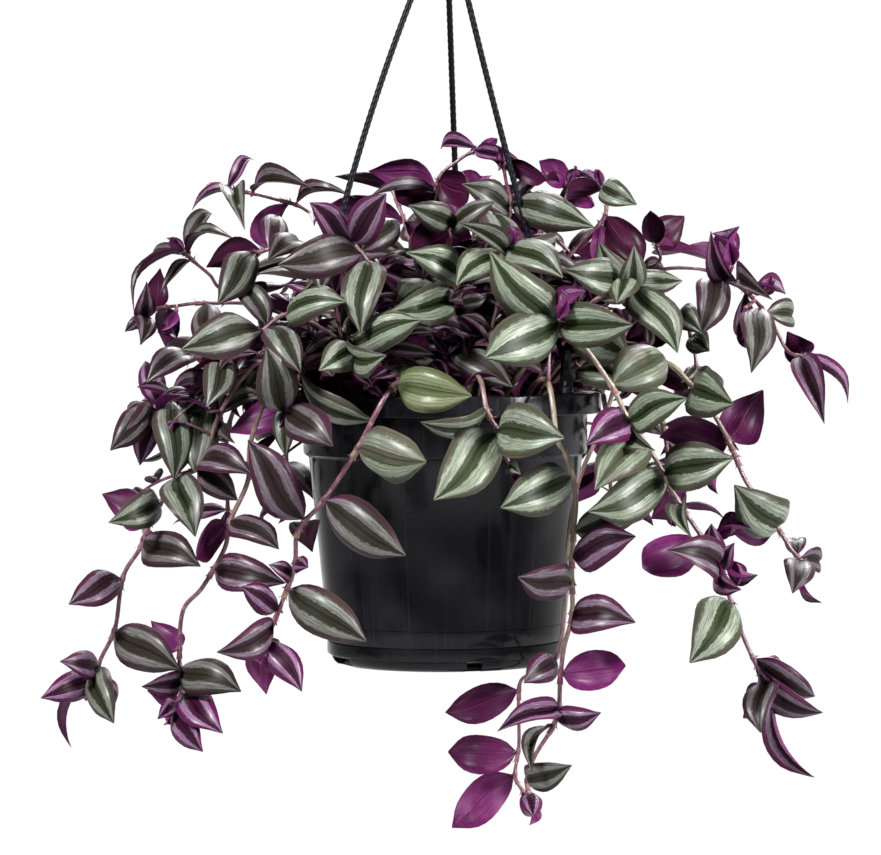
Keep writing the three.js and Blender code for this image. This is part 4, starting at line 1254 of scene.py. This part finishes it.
def may_grow(place):
    """Inside the crown's ellipsoid or one of the flanks, clear of the pot and of the front clip."""
    _, y, z = place
    r = np.hypot(*place[:2])
    dome = (((place - CROWN_CENTRE) / CROWN_SIZE) ** 2).sum() < 1
    flank = any(within(box, place) for box in FLANKS)
    above = z > POT_HEIGHT + 3 or (r < INSIDE_RIM and z > SOIL_TOP + 2)
    beside = r > OUTSIDE_RIM and y > -50
    return (above or beside) and not within(BEFORE_CLIP, place) and (dome or flank)


# %% A side shoot
SHOOT_LENGTH = (22, 44)
SHOOT_LEAVES = 5
SHOOT_LEAF = (15, 29)
SHOOT_SLIMNESS = (0.15, 0.27)


def side_shoot(root, forward):
    """A quarter of a sagging arc: p + L (t d - 0.3 t² z), with its leaves left and right in turn."""
    outward = unit([root[0], root[1], 0.01]) * [1, 1, 0]
    aim = unit(outward * rng.uniform(-0.2, 1.0) + forward * 0.4 + rng.normal(size=3) * 0.5 + [0, 0, 0.5])
    length = rng.uniform(*SHOOT_LENGTH)
    t = np.linspace(0, 1, 6)[:, None]
    path, _ = smooth_path(root + length * (t * aim - 0.3 * t**2 * np.array([0, 0, 1])), 2.5)
    headings, sides, _ = frames_along(path)
    grown = []
    for n, k in enumerate(np.linspace(len(path) // 4, len(path) - 1, SHOOT_LEAVES).astype(int)):
        turn = rng.uniform(-0.7, 0.7)
        across = sides[k] * np.cos(turn) + np.cross(headings[k], sides[k]) * np.sin(turn)
        reach = across * (-1) ** n + headings[k] * rng.uniform(0.5, 1.1) - [0, 0, rng.uniform(0, 0.5)]
        size = rng.uniform(*SHOOT_LEAF)
        upper = unit([0, 0, 1] + outward * rng.uniform(0.2, 1.0) + rng.normal(size=3) * 0.5)
        tip = path[k] + unit(reach) * size
        one = {"base": path[k], "tip": tip, "half": size * rng.uniform(*SHOOT_SLIMNESS), "upper": upper}
        if may_grow(tip) and may_grow(path[k]):
            grown.append(one)
            last = k
    if not grown:
        return []
    stalk = path[: max(last, 2) + 1]
    thickness = np.linspace(1.0, 0.6, len(stalk))
    skins = [rod(stalk, thickness, 6) | {"slot": 1, "young": 0.5, "seed": rng.uniform()}]
    for one in grown:
        fold, twist = rng.uniform(-0.7, 0.4), rng.uniform(-0.9, 0.9)
        sway, phase = rng.uniform(-0.05, 0.05), rng.uniform(0, 6)
        skin = leaf_skin(one, one["base"], fold, sway, 0.08, phase, twist, 0.16, 0.08)
        skins.append(skin | {"young": rng.uniform(0.25, 0.95), "seed": rng.uniform()})
    return skins


# %% Side shoots along a stem, and rolled leaves
SHOOT_SPACING = 12


def side_shoots(stem):
    """A shoot at about every 12 mm of the stem, where it may grow."""
    forward, _, _ = frames_along(stem["path"])
    skins = []
    for at in np.arange(rng.uniform(18, 30), stem["length"][-1] * 0.8, SHOOT_SPACING):
        k = int(np.searchsorted(stem["length"], at + rng.uniform(-4, 4)))
        if may_grow(stem["path"][k]):
            skins += side_shoot(stem["path"][k], forward[k])
    return skins


def rolled_leaves(base, forward, side, size):
    """Two narrow leaves of about this length, folded so far along the midrib that they are rolled."""
    skins = []
    for sign in (-1, 1):
        length = size * rng.uniform(0.8, 1.2)
        tip = base + unit(forward + sign * 0.35 * side) * length
        one = {"tip": tip, "half": length * 0.24, "upper": unit(forward - sign * side)}
        skin = leaf_skin(one, base, -1.3, 0.0, 0.05, 0.0, sign * 0.8, 0.1)
        skins.append(skin | {"young": 1.0, "seed": rng.uniform()})
    return skins


# %% [markdown]
# ## The leafy stems
#
# How purple a leaf is depends on its stem and on how near the tip it grows: 0 is green, 1 is young
# and purple, and below 0 it is greyed by age. Two old leaves at the front have turned yellow-green.

# %% Tones and forms of the leaves
PLAIN_TONE = 0.08
TONE = {
    "crown_top": 0.7, "crown_top_left": 0.3, "crown_top_back": 0.5, "crown_top_right": 0.8,
    "crown_right": 0.5, "crown_right_high": 0.6, "crown_left_high": 0.3, "crown_left": 0.65,
    "crown_left_low": 0.3, "crown_left_middle": 0.3, "crown_left_front": 0.08, "spill_left": 0.35,
    "spill_left_front": 0.3, "trail_left_far": 0.45, "trail_left_near": 0.5, "trail_right": 0.12,
    "crown_front_left": 0.4, "trail_front_right_back": 0.4, "trail_right_front": 0.05,
}
# Leaves that differ from their stem, by their number along it.
LEAF_TONE = {
    "crown_centre": {0: 0.1, 1: 0.25, 2: 0.2, 3: 0.6, 4: 0.3, 5: 0.5},
    "crown_front": {0: 0.25, 1: 0.25, 2: 0.15, 3: 0.15},
    "crown_front_left": {0: 0.4, 1: 0.85, 2: 0.0, 3: 0.2, 4: 0.75, 5: 0.35},
    "crown_front_low": {0: 0.0, 1: 0.0, 2: 0.0, 3: 0.1},
    "crown_left": {0: 0.6, 1: 0.6, 2: 0.7, 3: 0.4, 4: 0.55, 5: 0.4, 6: 0.5, 7: 0.35},
    "crown_left_front": {0: 0.25, 1: 0.3, 2: 0.3, 3: 0.15, 4: 0.1},
    "crown_left_high": {0: 0.45, 1: 0.4, 2: 0.5, 3: 0.35, 4: 0.35, 5: 0.3, 6: 0.3},
    "crown_left_low": {0: 0.55, 1: 0.55, 2: 0.25, 3: 0.3, 4: 0.3},
    "crown_left_middle": {0: 0.35, 1: 0.3, 2: 0.45, 3: 0.6, 4: 0.35, 5: 0.15, 6: 0.5},
    "crown_middle": {0: 0.0, 1: 0.0, 2: 0.0, 3: 0.05, 4: 0.35},
    "crown_right": {
        0: 0.3, 1: 0.1, 2: 0.5, 3: 0.5, 4: 0.55, 5: 0.5, 6: 0.85, 7: 0.35, 8: 0.7, 9: 0.55, 10: 0.55,
        11: 0.2, 12: 0.75, 13: 0.9,
    },
    "crown_right_front": dict.fromkeys(range(12), 0.12),
    "crown_right_high": {1: 0.35, 2: 0.15, 3: 0.35, 4: 0.4},
    "crown_right_low": {1: 0.3, 2: 0.2, 3: 0.0, 4: 0.0},
    "crown_top": {2: 0.6, 4: 0.3, 6: 0.25, 7: 0.3},
    "crown_top_left": {0: 0.9, 1: 0.3, 3: 0.6, 4: 0.45, 5: 0.2, 6: 0.2, 7: 0.6, 8: 0.5, 9: 0.4},
    "crown_top_middle": {0: 0.3, 1: 0.3, 3: 0.5, 4: 0.2},
    "crown_top_right": {1: 0.3, 2: 0.8, 3: 1.0, 4: 0.4, 5: 0.15, 6: 0.2},
    "spill_front": {0: 0.0, 1: -0.15, 2: -0.1, 3: -0.1, 4: 0.0, 5: 0.0, 6: 0.0, 7: 0.0},
    "spill_left": {0: 0.5, 1: 0.5, 4: 0.2, 5: 0.2},
    "spill_left_front": {1: 0.4, 2: 0.3, 3: 0.25, 4: 0.5, 5: 0.15},
    "trail_front_left": {0: 0.65, 1: 0.9, 2: 0.6, 4: 0.8, 5: 0.9, 6: 0.8, 8: 0.3, 10: 0.35, 11: -0.3},
    "trail_front_right": {
        0: 0.85, 1: 0.0, 2: 0.6, 3: 0.35, 4: 0.85, 5: 0.3, 6: 0.8, 7: 1.0, 8: 0.7, 9: 0.75, 10: 0.1,
    },
    "trail_front_right_back": {0: 0.6, 1: 0.55, 2: 0.7, 3: 0.7, 4: 0.75},
    "trail_left_far": {0: 0.95, 1: 0.5, 2: 0.8, 3: 0.7, 6: 0.25, 7: 0.2, 9: 0.35, 10: 0.2, 11: 0.45},
    "trail_left_near": {1: 0.75, 7: 0.35, 8: 0.55, 9: 0.65},
    "trail_right": {
        1: 0.45, 2: 0.4, 3: 0.6, 4: 0.0, 5: 0.1, 6: 0.75, 7: 0.55, 8: 0.5, 9: 0.5, 10: 0.5, 11: 0.5,
    },
    "trail_right_front": {
        0: 0.0, 1: 0.0, 2: 1.0, 3: 0.9, 4: -0.1, 5: -0.3, 6: 0.0, 7: 0.85, 8: 0.15, 9: 0.5, 10: 0.65,
        11: -0.3, 12: 0.0, 13: 0.1, 14: 0.05, 15: 0.85, 16: 0.12, 17: 0.95, 18: 0.95, 19: 0.45,
        20: 0.5, 21: 0.7, 22: 0.75, 23: 0.6, 24: 0.7,
    },
}
# Stems that aren't as purple as 0.6 of their leaves' tone.
STEM_TONE = {
    "trail_front_left": 0.65, "trail_left_far": 0.38, "trail_left_near": 0.34, "crown_front_left": 0.5,
    "trail_right_front": 0.15, "trail_front_right": 0.1, "spill_front": 0.2,
}
# How far leaves that lie flat in the crown are turned to face the sky.
FACE_SKY = {"crown_left_high": 1.1, "crown_top_left": 0.8, "crown_left": 0.7, "crown_left_middle": 0.6}
# Tips of the yellowed leaves in the front view.
YELLOWED = [(13, 133), (-26, 156)]
# Stems at the crown's edges whose leaves droop, and the share of their width that is left.
SLENDER = {"crown_left_high": 0.62, "crown_left": 1.0, "crown_top_left": 0.82, "crown_right": 0.85}
# Young shoots on nodes: stem, place in the front view with its depth, direction and size.
BUDS = [
    ("trail_right_front", (57, 171, -98), (0.4, -0.3, 0.9), 18),
    ("trail_right_front", (135, 61, -73), (0.5, -0.3, 0.4), 17),
    ("trail_right_front", (140, 50, -73), (0.6, -0.3, -0.6), 15),
    ("crown_right", (144, 197, -12), (-0.2, -0.4, 0.9), 19),
    ("crown_right", (153, 184, -14), (0.6, -0.4, 0.2), 17),
    ("crown_right", (150, 176, -16), (0.2, -0.4, -0.9), 20),
    ("crown_left", (-134, 176, -12), (-0.3, -0.4, -0.8), 15),
    ("crown_left_low", (-118, 148, -38), (-0.4, -0.4, -0.8), 16),
]


def is_yellowed(tip):
    k = -EYE[1] / (tip[1] - EYE[1])
    view = EYE[[0, 2]] + (tip[[0, 2]] - EYE[[0, 2]]) * k
    return float(any(np.hypot(*(view - mark)) < 4 for mark in YELLOWED))


# %% The pieces of one leafy stem
ROLLED_BELOW = 0.39
HAIRS = 7
STUBS = 3


def body_skin(name, stem, nodes, seed):
    """The stem itself, more purple over its last 45 percent."""
    share = np.repeat(np.linspace(0, 1, len(stem["path"]) - 1), STEM_SIDES)
    share = np.append(share, np.repeat([0.0, 1.0], STEM_SIDES))
    tone = STEM_TONE.get(name, 0.6 * TONE.get(name, PLAIN_TONE))
    ripening = tone + 0.7 * np.clip((share - 0.55) / 0.45, 0, 1)
    return stem_skin(stem, nodes) | {"slot": 1, "young": np.clip(ripening, 0, 1), "seed": seed}


def age_of(name, number, length, share):
    """The leaf's own tone if it has one, or else its stem's, more for small leaves near the tip."""
    small = np.clip((26 - length) / 12, 0, 1)
    tip_share = np.clip((share - 0.7) / 0.3, 0, 1)
    young = TONE.get(name, PLAIN_TONE) + 0.6 * max(small, tip_share) + rng.uniform(-0.18, 0.18)
    return LEAF_TONE.get(name, {}).get(number, np.clip(young, 0, 1))


def blade_skin(name, one, base, young):
    """The leaf with a fold, twist, tilt and waves of its own."""
    one = one | {"half": one["half"] * SLENDER.get(name, 1.0)}
    rolled = 2 * one["half"] / one["length"] < ROLLED_BELOW
    fold = rng.uniform(-1.1, -0.7) if rolled else rng.uniform(-0.25, 0.45)
    twist = rng.uniform(-1.0, 1.0) if rolled else rng.uniform(-0.35, 0.35)
    lean = np.array([0, 0, FACE_SKY.get(name, 0.4 if name.startswith("crown") else 0.0)])
    one["upper"] = unit(one["upper"] + lean + rng.normal(size=3) * 0.2)
    skin = leaf_skin(
        one, base, fold, rng.uniform(-0.04, 0.04), rng.uniform(0.03, 0.16), rng.uniform(0, 6),
        twist, rng.uniform(0.08, 0.2), rng.uniform(0, 0.1) + 0.12 * (name in SLENDER),
    )
    return skin | {"young": young, "seed": rng.uniform(), "yellow": is_yellowed(one["tip"])}


def clasp_skins(stem, node, k, forward, young):
    """The sheath at a node, the hairs round its rim and the stubs round its foot."""
    sheath = sheath_skin(stem, node)
    skins = [sheath | {"slot": 2, "young": young, "seed": rng.uniform()}] if sheath else []
    rim = min(k + int(SHEATH / STEM_STEP), len(stem["path"]) - 1)
    hairs = hair_skins(stem["path"][rim], forward[rim], stem["radius"], HAIRS)
    stubs = hair_skins(stem["path"][k], forward[k], stem["radius"], STUBS, 0.45, (1.0, 2.2))
    skins += [hair | {"slot": 3} for hair in hairs]
    return skins + [stub | {"slot": 2, "young": 0.7} for stub in stubs]


def bud_skins(stem, seed, place, aim, size):
    """Two rolled leaves at a place in the front view, on a stalk from the stem's nearest point."""
    base = seen(*place)
    root = stem["path"][nearest(stem["path"], [base])[0][0]]
    stalk = root + (base - root) * np.linspace(0, 1, 5)[:, None]
    skins = [rod(stalk, 1.0, 8) | {"slot": 1, "young": 0.9, "seed": seed}]
    return skins + rolled_leaves(base, unit(aim), unit(np.cross(aim, [0, 1, 0])), size)


# %% Dress every stem
def leafy_skins(name):
    """Everything that grows on one stem, from its own skin to its side shoots."""
    stem, found = stems[name], leaves[name]
    at, _ = nearest(stem["path"], [one["base"] for one in found])
    nodes = stem["length"][at]
    forward, sides, _ = frames_along(stem["path"])
    seed = rng.uniform()
    skins = [body_skin(name, stem, nodes, seed)]
    for number, (one, k, node) in enumerate(zip(found, at, nodes)):
        young = age_of(name, number, one["length"], node / stem["length"][-1])
        skins.append(blade_skin(name, one, stem["path"][k], young))
        skins += clasp_skins(stem, node, k, forward, young)
    for owner, *bud in BUDS:
        if owner == name:
            skins += bud_skins(stem, seed, *bud)
    return skins + rolled_leaves(stem["path"][-1], forward[-1], sides[-1], 10) + side_shoots(stem)


def foliage_piece(name, skins):
    """One piece of plant, with the four finishes of its slots."""
    materials = [finish.material for finish in (leaf, stem_finish, sheath_finish, hair_finish)]
    return build_piece(name, skins, materials, sharp=65, values=("seed", "young", "under", "yellow"))


for name in leaves:
    settle(foliage_piece(f"leafy_{name}", leafy_skins(name)), name)

# %% [markdown]
# ## Young sprouts
#
# Between the old stems the roots send up short new shoots, which close the gap under the crown at the
# back of the pot. They are side shoots that start in the soil and grow upwards.

# %% Sprouts from the soil
SPROUTS = 46
SPROUT_ARC = (70, 290)
SPROUT_REACH = (40, 62)
sprouts = []
for degrees in np.linspace(*SPROUT_ARC, SPROUTS):
    root = around(degrees, rng.uniform(*SPROUT_REACH), SOIL_TOP - 2)
    sprouts += side_shoot(root, np.array([0, 0, 1.0]))
settle(foliage_piece("young_sprouts", sprouts))

# %% [markdown]
# ## Light and floor
#
# A white studio: a pale floor well below the plant that fades out towards its edge, and a surround
# that is white behind the plant and darker overhead and in front of it. Three soft lights give the
# leaves their gloss: the key from the upper left, a fill from the right and a weaker one from behind.

# %% Floor
FLOOR_DROP = 0.25
FLOOR_FADE = (0.7, 1.3)
FLOOR_SIDES = 64
level = cad_box[0][2] - FLOOR_DROP
floor_finish = Finish("pale_floor", Roughness=0.9, Specular_IOR_Level=0.1)
floor_space = floor_finish.space()
its_length = {"operation": "LENGTH"}
from_middle = floor_finish.node("ShaderNodeVectorMath", its_length, {0: floor_space}, "Value")
floor_finish.set(
    Base_Color=mix(noise(floor_space, scale=3), (172, 172, 173), (178, 178, 178)),
    Alpha=1 - rise(from_middle, *[float(np.hypot(r, level)) for r in FLOOR_FADE]),
)
angle = np.linspace(0, 2 * np.pi, FLOOR_SIDES, endpoint=False)
rim = np.stack([FLOOR_FADE[1] * np.cos(angle), FLOOR_FADE[1] * np.sin(angle), 0 * angle + level], -1)
floor_mesh = bpy.data.meshes.new("floor")
floor_mesh.from_pydata(rim.tolist(), [], [list(range(FLOOR_SIDES))])
floor_mesh.materials.append(floor_finish.material)
floor = add_object("floor", floor_mesh)

# %% Surround
BEHIND = (0.45, 0.9, 0)
world = bpy.data.worlds.new("white_studio")
world.use_nodes = True
sky = Wiring(world.node_tree)
direction = sky.node("ShaderNodeTexCoord", {}, {}, "Generated")
height = sky.node("ShaderNodeSeparateXYZ", {}, {"Vector": direction}, "Z")
dot_product = {"operation": "DOT_PRODUCT"}
backwards = sky.node("ShaderNodeVectorMath", dot_product, {0: direction, 1: BEHIND}, "Value")
darker_overhead = rise(height, 0.12, 0.4, 1.02, 0.06)
lighter_behind = rise(backwards, 0.25, 0.8, 0.45, 1.0)
background = sky.tree.nodes["Background"]
sky.put(background.inputs["Strength"], darker_overhead * lighter_behind)
background.inputs["Color"].default_value = (1, 1, 1, 1)
bpy.context.scene.world = world
bpy.context.scene.view_settings.view_transform = "Standard"

# %% Lights
MIDDLE = (0, 0, -0.27)


def soft_light(name, place, size, power):
    """A rectangle of light of this size in metres, turned towards the middle of the plant."""
    light = bpy.data.lights.new(name, "AREA")
    light.shape = "RECTANGLE"
    light.size, light.size_y = size
    light.energy = power
    lamp = add_object(name, light)
    lamp.location = place
    lamp.rotation_mode = "QUATERNION"
    lamp.rotation_quaternion = (Vector(place) - Vector(MIDDLE)).to_track_quat("Z", "Y")


soft_light("key", (-1.0, -1.1, 0.9), (0.5, 0.5), 118)
soft_light("fill", (1.45, -0.8, 0.2), (0.35, 0.9), 102)
soft_light("back", (0.3, 1.3, 0.8), (0.9, 0.5), 50)

# %% Update the scene, and show the solid model's box
bpy.context.view_layer.update()
print("solid model", cad_box)
